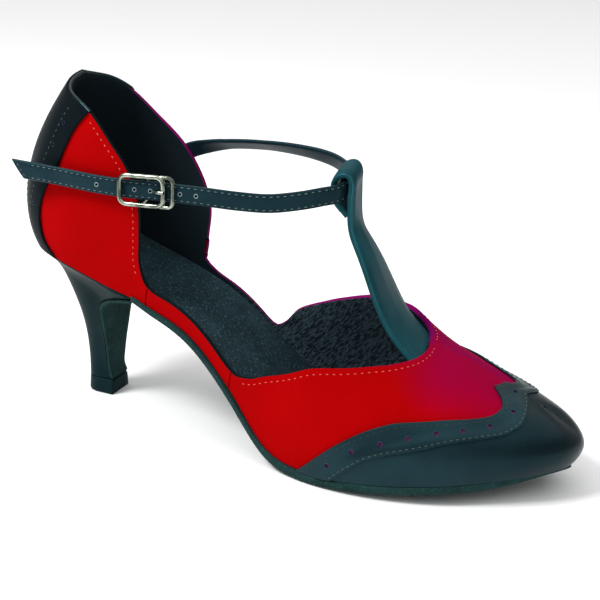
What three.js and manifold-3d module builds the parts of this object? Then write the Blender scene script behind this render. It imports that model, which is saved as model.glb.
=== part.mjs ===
// Closed-toe T-strap dance shoe, right foot, size about EU 38.
// Millimetres, +X to the toe, +Y to the inner (medial) side of the foot, +Z up.
// The group is centred on its bounding box, with the floor at Z = 0.
import * as THREE from "three";
import { mergeVertices } from "three/addons/utils/BufferGeometryUtils.js";
import Module from "manifold-3d";

const wasm = await Module();
wasm.setup();

// Last: the form that the shoe is built on
const LENGTH = 223;
const BALL_WIDTH = 76;
const HEEL_HEIGHT = 59;
const INSTEP_HEIGHT = 100;
const TOE_SPRING = 7;

// Thicknesses and gaps
const SOLE_THICKNESS = 3;
const WAIST_THICKNESS = 2;
const FLAP_THICKNESS = 1.2;
const SOLE_EDGE = 1.2;
const TREAD_CURVE = 2.4;
const WALL = 1.8;
const OVERLAY = 1.1;
const INSOLE_THICKNESS = 3;
const CLEARANCE = 0.3;

// Heel
const TIP_LENGTH = 13.3;
const TIP_WIDTH = 13;
const TIP_BACK = 23.6;
const TOP_PIECE_HEIGHT = 6;
const HEEL_SEAT = 58;

// Straps
const STRAP_WIDTH = 6.7;
const STRAP_THICKNESS = 1.7;
const TAIL_CUT = 5.5;
const T_STRAP_THICKNESS = 2;
const T_STRAP_TOP_WIDTH = 10.5;
const T_STRAP_BASE_WIDTH = 28;
const T_STRAP_TUCK = 8;
const T_STRAP_TAPER = 2.5;
const T_STRAP_FOLLOW = 0.35;
const T_STRAP_EASE = 0.4;
const T_STRAP_LIFT = 0.7;
const LOOP_SLACK = 0.8;
const LOOP_BACK = 1.6;
const TAB_THICKNESS = 0.8;
const TAB_STANDOFF = 0.5;
const TAB_WIDTH = 6;
const TAB_LAP = 12;
const TAB_BEND = 0.45;

// Buckle
const BUCKLE_LENGTH = 22;
const BUCKLE_HEIGHT = 11.8;
const BUCKLE_WIRE = 1.7;
const BUCKLE_CORNER = 3.6;
const BUCKLE_SLOT = 1.8;
const BAR_DIAMETER = 1.2;
const PRONG_DIAMETER = 1.3;

// How finely the forms are divided
const TOPLINE_COLUMNS = 26;
const RIDGE_COLUMNS = 10;
const WALL_ROWS = 11;

const LATERAL = -1;
const MEDIAL = 1;
const UP = new THREE.Vector3(0, 0, 1);

function table(columns, rows) {
  return rows.map((row) => Object.fromEntries(columns.map((name, i) => [name, row[i]])));
}

// Ribs of the last, heel to toe. Each one is a curve from the feather line, where upper and sole
// meet, to the crown: the ankle opening over the heel, and the ridge of the foot over the vamp.
// at, crownAt: shares of LENGTH. lateral, medial, crownSide, crownShift and the four bulges:
// shares of BALL_WIDTH. arch: share of HEEL_HEIGHT. curve: share of TREAD_CURVE, by which the
// sole's edges lie above its tread. spring: share of TOE_SPRING. height: share of
// INSTEP_HEIGHT. lowRise, highDrop: shares of the rib's own height. steer: 1 where the rib
// leaves the ridge along its slope.
const RIBS = table(
  [
    "at", "lateral", "medial", "arch", "curve", "spring", "crownAt", "crownSide", "crownShift", "height",
    "lowBulge", "lowRise", "lateralBulge", "medialBulge", "highDrop", "steer",
  ],
  [
    [0.036, 0.0, 0.0, 1.008, 0, 0, 0.115, 0, 0, 0.69, 0.19, 0.24, 0.335, 0.335, 0.4, 0],
    [0.051, 0.195, 0.195, 1.01, 0, 0, 0.134, 0.185, 0, 0.69, 0.122, 0.24, 0.19, 0.19, 0.41, 0],
    [0.108, 0.31, 0.31, 0.98, 0, 0, 0.19, 0.29, 0, 0.705, 0.06, 0.26, 0.08, 0.08, 0.42, 0],
    [0.2, 0.322, 0.31, 0.87, 0, 0, 0.27, 0.29, 0, 0.77, 0.052, 0.27, 0.092, 0.092, 0.42, 0],
    [0.287, 0.316, 0.29, 0.772, 0, 0, 0.342, 0.263, 0, 0.815, 0.052, 0.27, 0.105, 0.105, 0.42, 0],
    [0.368, 0.322, 0.283, 0.627, 0, 0, 0.413, 0.21, 0, 0.86, 0.046, 0.26, 0.13, 0.13, 0.4, 0],
    [0.444, 0.362, 0.309, 0.37, 0, 0, 0.48, 0.105, 0, 0.938, 0.04, 0.24, 0.185, 0.185, 0.32, 0],
    [0.52, 0.421, 0.382, 0.068, 0.05, 0, 0.547, 0.026, 0, 0.972, 0.033, 0.27, 0.24, 0.24, 0.25, 0],
    [0.592, 0.474, 0.441, 0, 0.25, 0, 0.61, 0, 0.007, 0.796, 0.033, 0.33, 0.27, 0.27, 0.15, 1],
    [0.664, 0.491, 0.467, 0, 0.65, 0, 0.673, 0, 0.025, 0.564, 0.033, 0.43, 0.3, 0.35, 0.05, 1],
    [0.735, 0.467, 0.461, 0, 0.95, 0.11, 0.735, 0, 0.032, 0.4, 0.033, 0.5, 0.3, 0.42, 0, 1],
    [0.807, 0.4, 0.42, 0, 1, 0.31, 0.794, 0, 0.034, 0.33, 0.036, 0.52, 0.275, 0.3, 0, 1],
    [0.874, 0.298, 0.344, 0, 1, 0.54, 0.847, 0, 0.033, 0.264, 0.042, 0.52, 0.23, 0.265, 0, 1],
    [0.931, 0.186, 0.256, 0, 1, 0.74, 0.885, 0, 0.04, 0.215, 0.05, 0.5, 0.2, 0.225, 0, 1],
    [0.973, 0.064, 0.16, 0, 1, 0.9, 0.911, 0, 0.046, 0.182, 0.056, 0.47, 0.175, 0.175, 0, 1],
    [0.986, -0.053, 0.053, 0, 1, 0.97, 0.924, 0, 0.053, 0.16, 0.06, 0.47, 0.17, 0.17, 0, 1],
  ],
);
const TOE_RIB = RIBS.length - 1;
const THROAT_RIB = 10.05;
const RING = 2 * TOE_RIB;

// Upper edge of the leather on each side: rib is a place along the ribs, up the share of the way
// from the feather line to the crown
const LATERAL_TOPLINE = table(
  ["rib", "up"],
  [
    [0, 0.958], [0.9, 0.915], [1.95, 0.847], [2.66, 0.723], [3.12, 0.63], [3.47, 0.514],
    [3.66, 0.36], [3.78, 0.21], [4.0, 0.112], [4.6, 0.104], [5.5, 0.102], [6.08, 0.11],
    [6.45, 0.18], [6.95, 0.285], [7.72, 0.367], [8.56, 0.46], [9.28, 0.598], [9.63, 0.703],
    [9.88, 0.81], [10.02, 0.92], [THROAT_RIB, 1],
  ],
);
const MEDIAL_TOPLINE = table(
  ["rib", "up"],
  [
    [0, 0.958], [0.89, 0.914], [1.4, 0.862], [2.1, 0.742], [2.79, 0.632], [3.18, 0.553],
    [3.54, 0.463], [3.81, 0.36], [3.92, 0.22], [3.98, 0.09], [4.3, 0.056], [4.8, 0.053],
    [5.35, 0.05], [5.77, 0.053], [5.98, 0.11], [6.33, 0.255], [7.04, 0.4], [8.0, 0.49],
    [8.81, 0.61], [9.36, 0.75], [9.82, 0.88], [THROAT_RIB, 1],
  ],
);

// Back edge of the winged toe cap, from the sole up to the ridge: the rib that it crosses on each
// side, by the share of the way up
const WING_EDGE = table(
  ["up", "lateral", "medial"],
  [
    [0, 7.9, 7.9], [0.1, 8.41, 8.33], [0.22, 9.06, 8.8], [0.31, 9.52, 9.13], [0.385, 9.94, 9.4],
    [0.46, 10.68, 9.68], [0.51, 11.2, 9.87], [0.585, 11.7, 10.2], [0.67, 11.95, 10.8],
    [0.74, 12.02, 11.7], [0.81, 11.94, 12.16], [0.86, 11.88, 12.34], [0.93, 11.98, 12.38],
    [1, 12.22, 12.22],
  ],
);

// Front edge of the back strip, from the sole up to the topline
const STRIP_EDGE = table(
  ["rib", "up"],
  [
    [2.3, -0.06], [2.05, 0], [1.72, 0.09], [1.58, 0.2], [1.52, 0.328], [1.57, 0.443],
    [1.66, 0.55], [1.7, 0.656], [1.78, 0.757], [2.02, 0.88], [2.4, 1],
  ],
);

// Heel block, tip to seat: level is a share of the height, back and breast the shares of the way
// along from the tip to the seat, width the share of the way out
const HEEL_SECTIONS = table(
  ["level", "back", "breast", "width"],
  [
    [0, 0, 0, 0],
    [0.11, -0.005, -0.01, -0.05],
    [0.14, 0, -0.08, -0.06],
    [0.25, 0.015, -0.125, -0.04],
    [0.4, 0.07, -0.12, 0.03],
    [0.55, 0.195, -0.11, 0.15],
    [0.7, 0.425, -0.1, 0.27],
    [0.82, 0.65, -0.05, 0.38],
    [0.88, 0.8, 0.12, 0.52],
    [0.94, 0.96, 0.45, 0.76],
    [1, 1.09, 1, 1],
  ],
);

// Ankle strap, from its tail round the front to the inner quarter. along: share of LENGTH,
// across: share of BALL_WIDTH, lift: share of HEEL_HEIGHT, rise: share of INSTEP_HEIGHT,
// lean: degrees that its upper edge leans inwards
const ANKLE_STRAP = table(
  ["along", "across", "lift", "rise", "lean"],
  [
    [0.045, -0.383, 1, 0.333, 0],
    [0.137, -0.388, 1, 0.328, 0],
    [0.209, -0.392, 1, 0.322, 2],
    [0.262, -0.39, 1, 0.322, 4],
    [0.317, -0.379, 0.79, 0.45, 6],
    [0.384, -0.349, 0.68, 0.514, 4],
    [0.447, -0.306, 0.49, 0.62, 2],
    [0.491, -0.264, 0.32, 0.72, 0],
    [0.533, -0.207, 0.17, 0.822, 0],
    [0.561, -0.15, 0.1, 0.876, 2],
    [0.58, -0.08, 0.05, 0.913, 0],
    [0.586, 0, 0.05, 0.932, 0],
    [0.579, 0.08, 0.06, 0.944, 6],
    [0.56, 0.145, 0.1, 0.936, 16],
    [0.53, 0.203, 0.22, 0.878, 28],
    [0.475, 0.262, 0.4, 0.778, 42],
    [0.396, 0.318, 0.66, 0.618, 54],
    [0.319, 0.35, 0.81, 0.51, 54],
    [0.279, 0.363, 0.9, 0.437, 40],
    [0.242, 0.373, 1, 0.352, 20],
    [0.202, 0.376, 1, 0.305, 8],
  ],
);

const lerp = THREE.MathUtils.lerp;
const clamp = THREE.MathUtils.clamp;

function ringPlace(rib, side) {
  return side === LATERAL ? rib : RING - rib;
}

function featherHeight(rib) {
  const shape = TREAD_CURVE * rib.curve + HEEL_HEIGHT * rib.arch + TOE_SPRING * rib.spring;
  return SOLE_THICKNESS + CLEARANCE + shape;
}

// The four handle points of every rib, in a closed ring: lateral side heel to toe, then back
function ribHandles() {
  const ring = [];
  for (let i = 0; i < RING; i++) {
    const side = i <= TOE_RIB ? LATERAL : MEDIAL;
    const number = i <= TOE_RIB ? i : RING - i;
    const rib = RIBS[number];
    const across = (side === LATERAL ? -rib.lateral : rib.medial) * BALL_WIDTH;
    ring.push({ side, number, rib, foot: new THREE.Vector3(rib.at * LENGTH, across, featherHeight(rib)) });
  }
  return ring.map(({ side, number, rib, foot }, i) => {
    const next = ring[(i + 1) % RING].foot;
    const previous = ring[(i + RING - 1) % RING].foot;
    const out = new THREE.Vector2(next.y - previous.y, previous.x - next.x).normalize();
    const height = rib.height * INSTEP_HEIGHT;
    const crownSide = side * rib.crownSide + rib.crownShift;
    const crown = new THREE.Vector3(rib.crownAt * LENGTH, crownSide * BALL_WIDTH, foot.z + height);
    const low = rib.lowBulge * BALL_WIDTH;
    const high = (side === LATERAL ? rib.lateralBulge : rib.medialBulge) * BALL_WIDTH;
    const climb = rib.steer * ridgeSlope(number) * out.x * high;
    return [
      foot,
      foot.clone().add(new THREE.Vector3(out.x * low, out.y * low, rib.lowRise * height)),
      crown.clone().add(new THREE.Vector3(out.x * high, out.y * high, climb - rib.highDrop * height)),
      crown,
    ];
  });
}

function ridgeSlope(number) {
  const before = RIBS[Math.max(number - 1, 0)];
  const after = RIBS[Math.min(number + 1, TOE_RIB)];
  const rise = featherHeight(after) - featherHeight(before) + (after.height - before.height) * INSTEP_HEIGHT;
  return rise / ((after.crownAt - before.crownAt) * LENGTH);
}

const HANDLES = ribHandles();

function catmullRom(p0, p1, p2, p3, f) {
  const cube = -p0 + 3 * p1 - 3 * p2 + p3;
  const square = 2 * p0 - 5 * p1 + 4 * p2 - p3;
  return 0.5 * (2 * p1 + (p2 - p0) * f + square * f * f + cube * f * f * f);
}

// A handle point of the last at any place round the ring
function handleAt(place, which) {
  const whole = Math.floor(place);
  const near = [-1, 0, 1, 2].map((step) => HANDLES[(whole + step + 2 * RING) % RING][which]);
  const f = place - whole;
  return new THREE.Vector3(
    ...["x", "y", "z"].map((axis) => catmullRom(...near.map((point) => point[axis]), f)),
  );
}

function lastAtPlace(place, up) {
  const [foot, low, high, crown] = [0, 1, 2, 3].map((which) => handleAt(place, which));
  return new THREE.CubicBezierCurve3(foot, low, high, crown).getPoint(up);
}

// A point on the outside of the last, by rib and height
function lastPoint(rib, side, up) {
  return lastAtPlace(ringPlace(rib, side), up);
}

// Even steps along an edge table, with one rib about as long as a fifth of the height
const RIB_STEP = 0.19;

function edgePoints(edge, count) {
  const points = edge.map(({ rib, up }) => new THREE.Vector3(rib * RIB_STEP, up, 0));
  const curve = new THREE.CatmullRomCurve3(points, false, "centripetal");
  return curve.getSpacedPoints(count).map(({ x, y }) => ({ rib: x / RIB_STEP, up: Math.min(y, 1) }));
}

// Feet of the columns that hang from an edge: they advance along the feather line at least a
// little where the edge drops steeply
function withFeet(edge, first, last, leastStep) {
  const steps = edge.slice(1).map((point, i) => Math.max(point.rib - edge[i].rib, leastStep));
  const total = steps.reduce((sum, step) => sum + step, 0);
  let foot = first;
  return edge.map((point, i) => {
    if (i > 0) foot += (steps[i - 1] / total) * (last - first);
    return { ...point, foot };
  });
}

// A surface through a grid of points, by column and then by row from the feather line up. Points
// that coincide are one, so that the ridge and the heel close.
function sheet(grid, closed) {
  const points = [];
  const triangles = [];
  const known = new Map();
  const numberOf = (point) => {
    const key = point.toArray().map((value) => Math.round(value * 1000)).join();
    if (!known.has(key)) {
      known.set(key, points.length);
      points.push(point);
    }
    return known.get(key);
  };
  const columns = grid.map((column) => column.map(numberOf));
  const addTriangle = (a, b, c) => {
    if (a !== b && b !== c && c !== a) triangles.push([a, b, c]);
  };
  const spans = closed ? columns.length : columns.length - 1;
  for (let i = 0; i < spans; i++) {
    const here = columns[i];
    const there = columns[(i + 1) % columns.length];
    for (let j = 0; j < here.length - 1; j++) {
      addTriangle(here[j], there[j], there[j + 1]);
      addTriangle(here[j], there[j + 1], here[j + 1]);
    }
  }
  return { points, triangles, feet: columns.map((column) => column[0]) };
}

// Directions out of a sheet at its points, level at the feet
function sheetNormals({ points, triangles, feet }) {
  const normals = points.map(() => new THREE.Vector3());
  for (const corners of triangles) {
    const [a, b, c] = corners.map((corner) => points[corner]);
    const face = b.clone().sub(a).cross(c.clone().sub(a));
    corners.forEach((corner) => normals[corner].add(face));
  }
  feet.forEach((foot) => normals[foot].setZ(0));
  return normals.map((normal) => normal.normalize());
}

// A closed body from flat position and index lists
function body(positions, indices) {
  const geometry = new THREE.BufferGeometry();
  geometry.setAttribute("position", new THREE.Float32BufferAttribute(positions, 3));
  geometry.setIndex(indices);
  return geometry;
}

// The space between two offsets of a sheet, closed all round its edges
function shell(surface, inside, outside) {
  const { points, triangles } = surface;
  const normals = sheetNormals(surface);
  const count = points.length;
  const layer = (offset) =>
    points.flatMap((point, i) => point.clone().addScaledVector(normals[i], offset).toArray());
  const indices = triangles.flatMap(([a, b, c]) => [a, b, c, c + count, b + count, a + count]);
  const edges = new Map();
  for (const [a, b, c] of triangles) {
    for (const [from, to] of [[a, b], [b, c], [c, a]]) {
      if (!edges.delete(`${to},${from}`)) edges.set(`${from},${to}`, [from, to]);
    }
  }
  for (const [from, to] of edges.values()) {
    indices.push(to, from, from + count, to, from + count, to + count);
  }
  return body([...layer(outside), ...layer(inside)], indices);
}

// A body through closed rings of equal length. Each end is closed by strips between the points
// that face each other across the ring.
function loft(rings) {
  const size = rings[0].length;
  const last = (rings.length - 1) * size;
  const indices = [];
  for (let i = 0; i < rings.length - 1; i++) {
    for (let j = 0; j < size; j++) {
      const a = i * size + j;
      const b = i * size + ((j + 1) % size);
      indices.push(a, b, b + size, a, b + size, a + size);
    }
  }
  for (let j = 0; j + 1 < size - 1 - j; j++) {
    const [a, b, c, d] = [j, j + 1, size - 2 - j, size - 1 - j];
    indices.push(a, c, b, a, d, c);
    indices.push(last + a, last + b, last + c, last + a, last + c, last + d);
  }
  return outward(weld(body(rings.flat().flatMap((point) => point.toArray()), indices)));
}

// Joins points that coincide and drops the triangles that this flattens
function weld(geometry) {
  const merged = mergeVertices(geometry, 1e-4);
  const index = merged.getIndex().array;
  const kept = [];
  for (let i = 0; i < index.length; i += 3) {
    const [a, b, c] = [index[i], index[i + 1], index[i + 2]];
    if (a !== b && b !== c && c !== a) kept.push(a, b, c);
  }
  merged.setIndex(kept);
  return merged;
}

// Turns a closed body's faces outwards
function outward(geometry) {
  const position = geometry.getAttribute("position");
  const index = geometry.getIndex().array;
  const [a, b, c] = [new THREE.Vector3(), new THREE.Vector3(), new THREE.Vector3()];
  let volume = 0;
  for (let i = 0; i < index.length; i += 3) {
    a.fromBufferAttribute(position, index[i]);
    b.fromBufferAttribute(position, index[i + 1]);
    c.fromBufferAttribute(position, index[i + 2]);
    volume += a.dot(b.cross(c));
  }
  if (volume < 0) geometry.setIndex(Array.from(index).reverse());
  return geometry;
}

function toSolid(geometry) {
  const plain = geometry.clone();
  plain.deleteAttribute("normal");
  plain.deleteAttribute("uv");
  const welded = outward(weld(plain));
  return new wasm.Manifold(
    new wasm.Mesh({
      numProp: 3,
      vertProperties: new Float32Array(welded.getAttribute("position").array),
      triVerts: new Uint32Array(welded.getIndex().array),
    }),
  );
}

function toGeometry(solid) {
  const { vertProperties, triVerts } = solid.getMesh();
  return body(Array.from(vertProperties), Array.from(triVerts));
}

// Upper: vamp, waist and quarters as one hollow wall, whose outside is the last surface. Its
// columns hang from the topline, and past the throat from the ridge.
function upperSheet() {
  const [lateral, medial] = [[LATERAL_TOPLINE, LATERAL], [MEDIAL_TOPLINE, MEDIAL]].map(([edge, side]) => {
    const topline = withFeet(edgePoints(edge, TOPLINE_COLUMNS), 0, THROAT_RIB, 0.12);
    const ridge = Array.from({ length: RIDGE_COLUMNS }, (_, i) => {
      const rib = lerp(THROAT_RIB, TOE_RIB, (i + 1) / RIDGE_COLUMNS);
      return { rib, foot: rib, up: 1 };
    });
    return [...topline, ...ridge].map(({ rib, foot, up }) =>
      Array.from({ length: WALL_ROWS + 1 }, (_, j) => {
        const share = j / WALL_ROWS;
        return lastAtPlace(ringPlace(lerp(foot, rib, share), side), up * share);
      }),
    );
  });
  return sheet([...lateral, ...medial.reverse().slice(1, -1)], true);
}

// How far a patch of the last that cuts an overlay reaches to each side of the surface, and the
// share of the ribs' height where it starts, under the feather line
const CUTTER_DEPTH = 3;
const CUTTER_BASE = -0.06;
const CUTTER_COLUMNS = 20;

// A patch of the last whose rows run from one edge to the other, each at its own height
function patch(rows, middle) {
  const columns = Array.from({ length: CUTTER_COLUMNS + 1 }, (_, i) => (2 * i) / CUTTER_COLUMNS - 1);
  const grid = columns.map((share) =>
    rows.map(({ first, last, up }) =>
      lastAtPlace(share < 0 ? lerp(middle, first, -share) : lerp(middle, last, share), up),
    ),
  );
  return toSolid(shell(sheet(grid, false), -CUTTER_DEPTH, CUTTER_DEPTH));
}

// The wing's patch: round the toe, from its edge on one side to that on the other
function wingPatch() {
  const edge = new THREE.CatmullRomCurve3(
    WING_EDGE.map(({ up, lateral, medial }) => new THREE.Vector3(lateral * RIB_STEP, up, medial * RIB_STEP)),
    false,
    "centripetal",
  );
  const rows = edge.getSpacedPoints(30).map(({ x, y, z }) => ({
    first: x / RIB_STEP,
    last: RING - z / RIB_STEP,
    up: Math.min(y, 1),
  }));
  return patch([{ ...rows[0], up: CUTTER_BASE }, ...rows], TOE_RIB);
}

// The back strip's patch: round the heel, between its two front edges
function stripPatch() {
  return patch(edgePoints(STRIP_EDGE, 16).map(({ rib, up }) => ({ first: -rib, last: rib, up })), 0);
}

const UPPER_SURFACE = upperSheet();

// A second layer of leather over the upper, cut to a patch
function overlay(outline) {
  const layer = toSolid(shell(UPPER_SURFACE, CLEARANCE, CLEARANCE + OVERLAY));
  return toGeometry(layer.intersect(outline));
}

// A point on the feather line, moved outwards in plan
function featherPoint(place, outset) {
  const ahead = handleAt(place + 0.02, 0);
  const behind = handleAt(place - 0.02, 0);
  const out = new THREE.Vector3(ahead.y - behind.y, behind.x - ahead.x, 0).normalize();
  return handleAt(place, 0).addScaledVector(out, outset);
}

// The rib whose foot lies at a distance along the shoe
function ribAt(along) {
  let low = 1;
  let high = TOE_RIB - 1;
  for (let i = 0; i < 40; i++) {
    const middle = (low + high) / 2;
    if (handleAt(middle, 0).x < along) low = middle;
    else high = middle;
  }
  return low;
}

// Rings across the foot from one rib to another, each between the two sides of an outline
function plateRings(from, to, count, outset, top, bottom) {
  const across = 6;
  return Array.from({ length: count + 1 }, (_, i) => {
    const rib = lerp(from, to, i / count);
    const left = featherPoint(ringPlace(rib, LATERAL), outset);
    const right = featherPoint(ringPlace(rib, MEDIAL) % RING, outset);
    const level = (heightOf) =>
      Array.from({ length: across + 1 }, (_, j) => {
        const point = left.clone().lerp(right, j / across);
        point.z = heightOf(point.z, rib, Math.abs((2 * j) / across - 1));
        return point;
      });
    return [...level(top), ...level(bottom).reverse()];
  });
}

function insole() {
  const inset = -(WALL + 2 * CLEARANCE);
  const top = (feather) => feather + INSOLE_THICKNESS;
  const bottom = (feather) => feather;
  return loft(plateRings(0, TOE_RIB, 26, inset, top, bottom));
}

// Outsole: flat along the middle where the ball of the foot treads, rising a little to its edges,
// and thinner in the waist. It ends where the flap over the heel breast begins.
const WAIST_RIB = 4;
const FOREPART_RIB = 6;
const TREAD_FLATNESS = 1.15;

function outsole() {
  const end = ribAt(HEEL_SEAT + 2 * CLEARANCE + FLAP_THICKNESS);
  const top = (feather) => feather - CLEARANCE;
  const bottom = (feather, rib, aside) => {
    const forward = clamp((rib - WAIST_RIB) / (FOREPART_RIB - WAIST_RIB), 0, 1);
    const edge = top(feather) - lerp(WAIST_THICKNESS, SOLE_THICKNESS, forward);
    return Math.max(0, edge - forward * TREAD_CURVE * TREAD_FLATNESS * (1 - aside ** 3));
  };
  return loft(plateRings(end, TOE_RIB, 28, SOLE_EDGE, top, bottom));
}

const TIP_FRONT = TIP_BACK + TIP_LENGTH;

// Outline of the heel tip, by share of the way round: straight sides and a half-round back
function tipPoint(share) {
  const radius = TIP_WIDTH / 2;
  const straight = TIP_LENGTH - radius;
  const arc = Math.PI * radius;
  const run = share * (arc + 2 * straight);
  if (run < straight) return new THREE.Vector2(TIP_FRONT - run, -radius);
  if (run > straight + arc) return new THREE.Vector2(TIP_FRONT - (2 * straight + arc - run), radius);
  const angle = (run - straight) / radius;
  return new THREE.Vector2(TIP_BACK + radius - radius * Math.sin(angle), -radius * Math.cos(angle));
}

const HEEL_AROUND = 23;
const HEEL_BACK_HEIGHT = handleAt(0, 0).z - CLEARANCE;

// A ring round the heel block at one of its sections: from the lateral breast corner round the
// back to the medial one. The rings are level near the floor, and higher up they follow the seat.
function heelRing(section) {
  const seat = ribAt(HEEL_SEAT);
  const follow = THREE.MathUtils.smoothstep(section.level, 0.11, 0.3);
  return Array.from({ length: HEEL_AROUND + 1 }, (_, i) => {
    const share = i / HEEL_AROUND;
    const top = handleAt(seat * (1 - 2 * share), 0);
    const tip = tipPoint(share);
    const towardsBreast = Math.abs(1 - 2 * share) ** 3;
    return new THREE.Vector3(
      lerp(tip.x, top.x, lerp(section.back, section.breast, towardsBreast)),
      lerp(tip.y, top.y, section.width),
      lerp(HEEL_BACK_HEIGHT * section.level, (top.z - CLEARANCE) * section.level, follow),
    );
  });
}

// The heel's section at any level
function heelSection(level) {
  const rows = HEEL_SECTIONS;
  const above = clamp(rows.findIndex((row) => row.level >= level), 1, rows.length - 1);
  const near = [above - 2, above - 1, above, above + 1].map((i) => rows[clamp(i, 0, rows.length - 1)]);
  const f = (level - near[1].level) / (near[2].level - near[1].level);
  const value = (name) => catmullRom(...near.map((row) => row[name]), f);
  return { level, back: value("back"), breast: value("breast"), width: value("width") };
}

function heelRings(from, to, count) {
  return Array.from({ length: count + 1 }, (_, i) => heelRing(heelSection(lerp(from, to, i / count))));
}

const HEEL_BOTTOM_LEVEL = (TOP_PIECE_HEIGHT + CLEARANCE) / HEEL_BACK_HEIGHT;

function heel() {
  return loft(heelRings(HEEL_BOTTOM_LEVEL, 1, 16));
}

function topPiece() {
  return loft(heelRings(0, TOP_PIECE_HEIGHT / HEEL_BACK_HEIGHT, 3));
}

// Flap of sole leather over the heel breast, from above the top piece up to the waist
const FLAP_TOP_LEVEL = 0.985;

function breastFlap() {
  const count = 16;
  const levels = heelRings(HEEL_BOTTOM_LEVEL, FLAP_TOP_LEVEL, count);
  const corners = levels.map((ring) => [ring[0], ring[HEEL_AROUND]]);
  const rings = corners.map(([near, far], i) => {
    const below = corners[Math.max(i - 1, 0)][0];
    const above = corners[Math.min(i + 1, count)][0];
    const forward = new THREE.Vector3(above.z - below.z, 0, below.x - above.x).normalize();
    const layer = (gap) =>
      [0, 0.5, 1].map((share) => near.clone().lerp(far, share).addScaledVector(forward, gap));
    return [...layer(CLEARANCE), ...layer(CLEARANCE + FLAP_THICKNESS).reverse()];
  });
  return loft(rings);
}

// A strap's cross-section as pairs of an across and a depth: its outer face from one edge to the
// other, then its inner face back. The edges are rounded.
const STRAP_ROUNDING = 0.35;

function strapOutline(width, thickness, inner) {
  const half = width / 2;
  const thick = thickness / 2;
  const cut = Math.min(STRAP_ROUNDING, thick * 0.6);
  const face = [
    [half, thick - cut], [half - cut, thick], ...inner.map((share) => [half * share, thick]),
    [cut - half, thick], [-half, thick - cut],
  ];
  return [...face, ...face.map(([across, depth]) => [across, -depth]).reverse()];
}

function strapRing({ point, side, face }, outline) {
  return outline.map(([across, depth]) =>
    point.clone().addScaledVector(side, across).addScaledVector(face, depth),
  );
}

const STRAP_STATIONS = ANKLE_STRAP.map(({ along, across, lift, rise, lean }) => ({
  point: new THREE.Vector3(
    along * LENGTH,
    across * BALL_WIDTH,
    SOLE_THICKNESS + lift * HEEL_HEIGHT + rise * INSTEP_HEIGHT,
  ),
  lean: THREE.MathUtils.degToRad(lean),
}));
const STRAP_CURVE = new THREE.CatmullRomCurve3(
  STRAP_STATIONS.map(({ point }) => point),
  false,
  "centripetal",
);

// Place, width direction and outward face of the ankle strap, by share of its table
function strapStation(share) {
  const point = STRAP_CURVE.getPoint(share);
  const tangent = STRAP_CURVE.getTangent(share);
  const row = share * (STRAP_STATIONS.length - 1);
  const number = Math.min(Math.floor(row), STRAP_STATIONS.length - 2);
  const lean = lerp(STRAP_STATIONS[number].lean, STRAP_STATIONS[number + 1].lean, row - number);
  const upright = UP.clone().addScaledVector(tangent, -UP.dot(tangent)).normalize();
  const outwards = tangent.clone().cross(upright);
  const side = upright.multiplyScalar(Math.cos(lean)).addScaledVector(outwards, -Math.sin(lean));
  return { point, tangent, side, face: tangent.clone().cross(side) };
}

// Where along the strap's table the buckle and the T-strap's loop sit
const BUCKLE_SHARE = 0.185;
const LOOP_SHARE = 0.552;

const BUCKLE_STATION = strapStation(BUCKLE_SHARE);
const BUCKLE_PLACE = new THREE.Matrix4()
  .makeBasis(BUCKLE_STATION.tangent, BUCKLE_STATION.side, BUCKLE_STATION.face)
  .setPosition(BUCKLE_STATION.point);

// Depths at the buckle, outwards from the middle of the strap
const STRAP_FACE = STRAP_THICKNESS / 2;
const FRAME_BACK = STRAP_FACE + CLEARANCE;
const FRAME_FACE = FRAME_BACK + BUCKLE_WIRE;
const TAB_DEPTH = -(STRAP_FACE + TAB_STANDOFF + TAB_THICKNESS / 2);
const BAR_WRAP = BAR_DIAMETER / 2 + CLEARANCE / 2 + TAB_THICKNESS / 2;
const BAR_DEPTH = TAB_DEPTH - BAR_WRAP;
const BAR_ALONG = -2;
const PRONG_BAR_END = BUCKLE_LENGTH / 2 - BUCKLE_WIRE - BUCKLE_SLOT;

function roundedBox(path, left, right, half, corner) {
  path.moveTo(left + corner, -half);
  path.lineTo(right - corner, -half);
  path.quadraticCurveTo(right, -half, right, corner - half);
  path.lineTo(right, half - corner);
  path.quadraticCurveTo(right, half, right - corner, half);
  path.lineTo(left + corner, half);
  path.quadraticCurveTo(left, half, left, half - corner);
  path.lineTo(left, corner - half);
  path.quadraticCurveTo(left, -half, left + corner, -half);
  return path;
}

function wire(points, diameter, steps) {
  const curve = new THREE.CatmullRomCurve3(
    points.map(([x, y, z]) => new THREE.Vector3(x, y, z)),
    false,
    "centripetal",
  );
  const section = new THREE.Shape().absarc(0, 0, diameter / 2, 0, 2 * Math.PI);
  return new THREE.ExtrudeGeometry(section, { steps, curveSegments: 4, extrudePath: curve });
}

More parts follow.
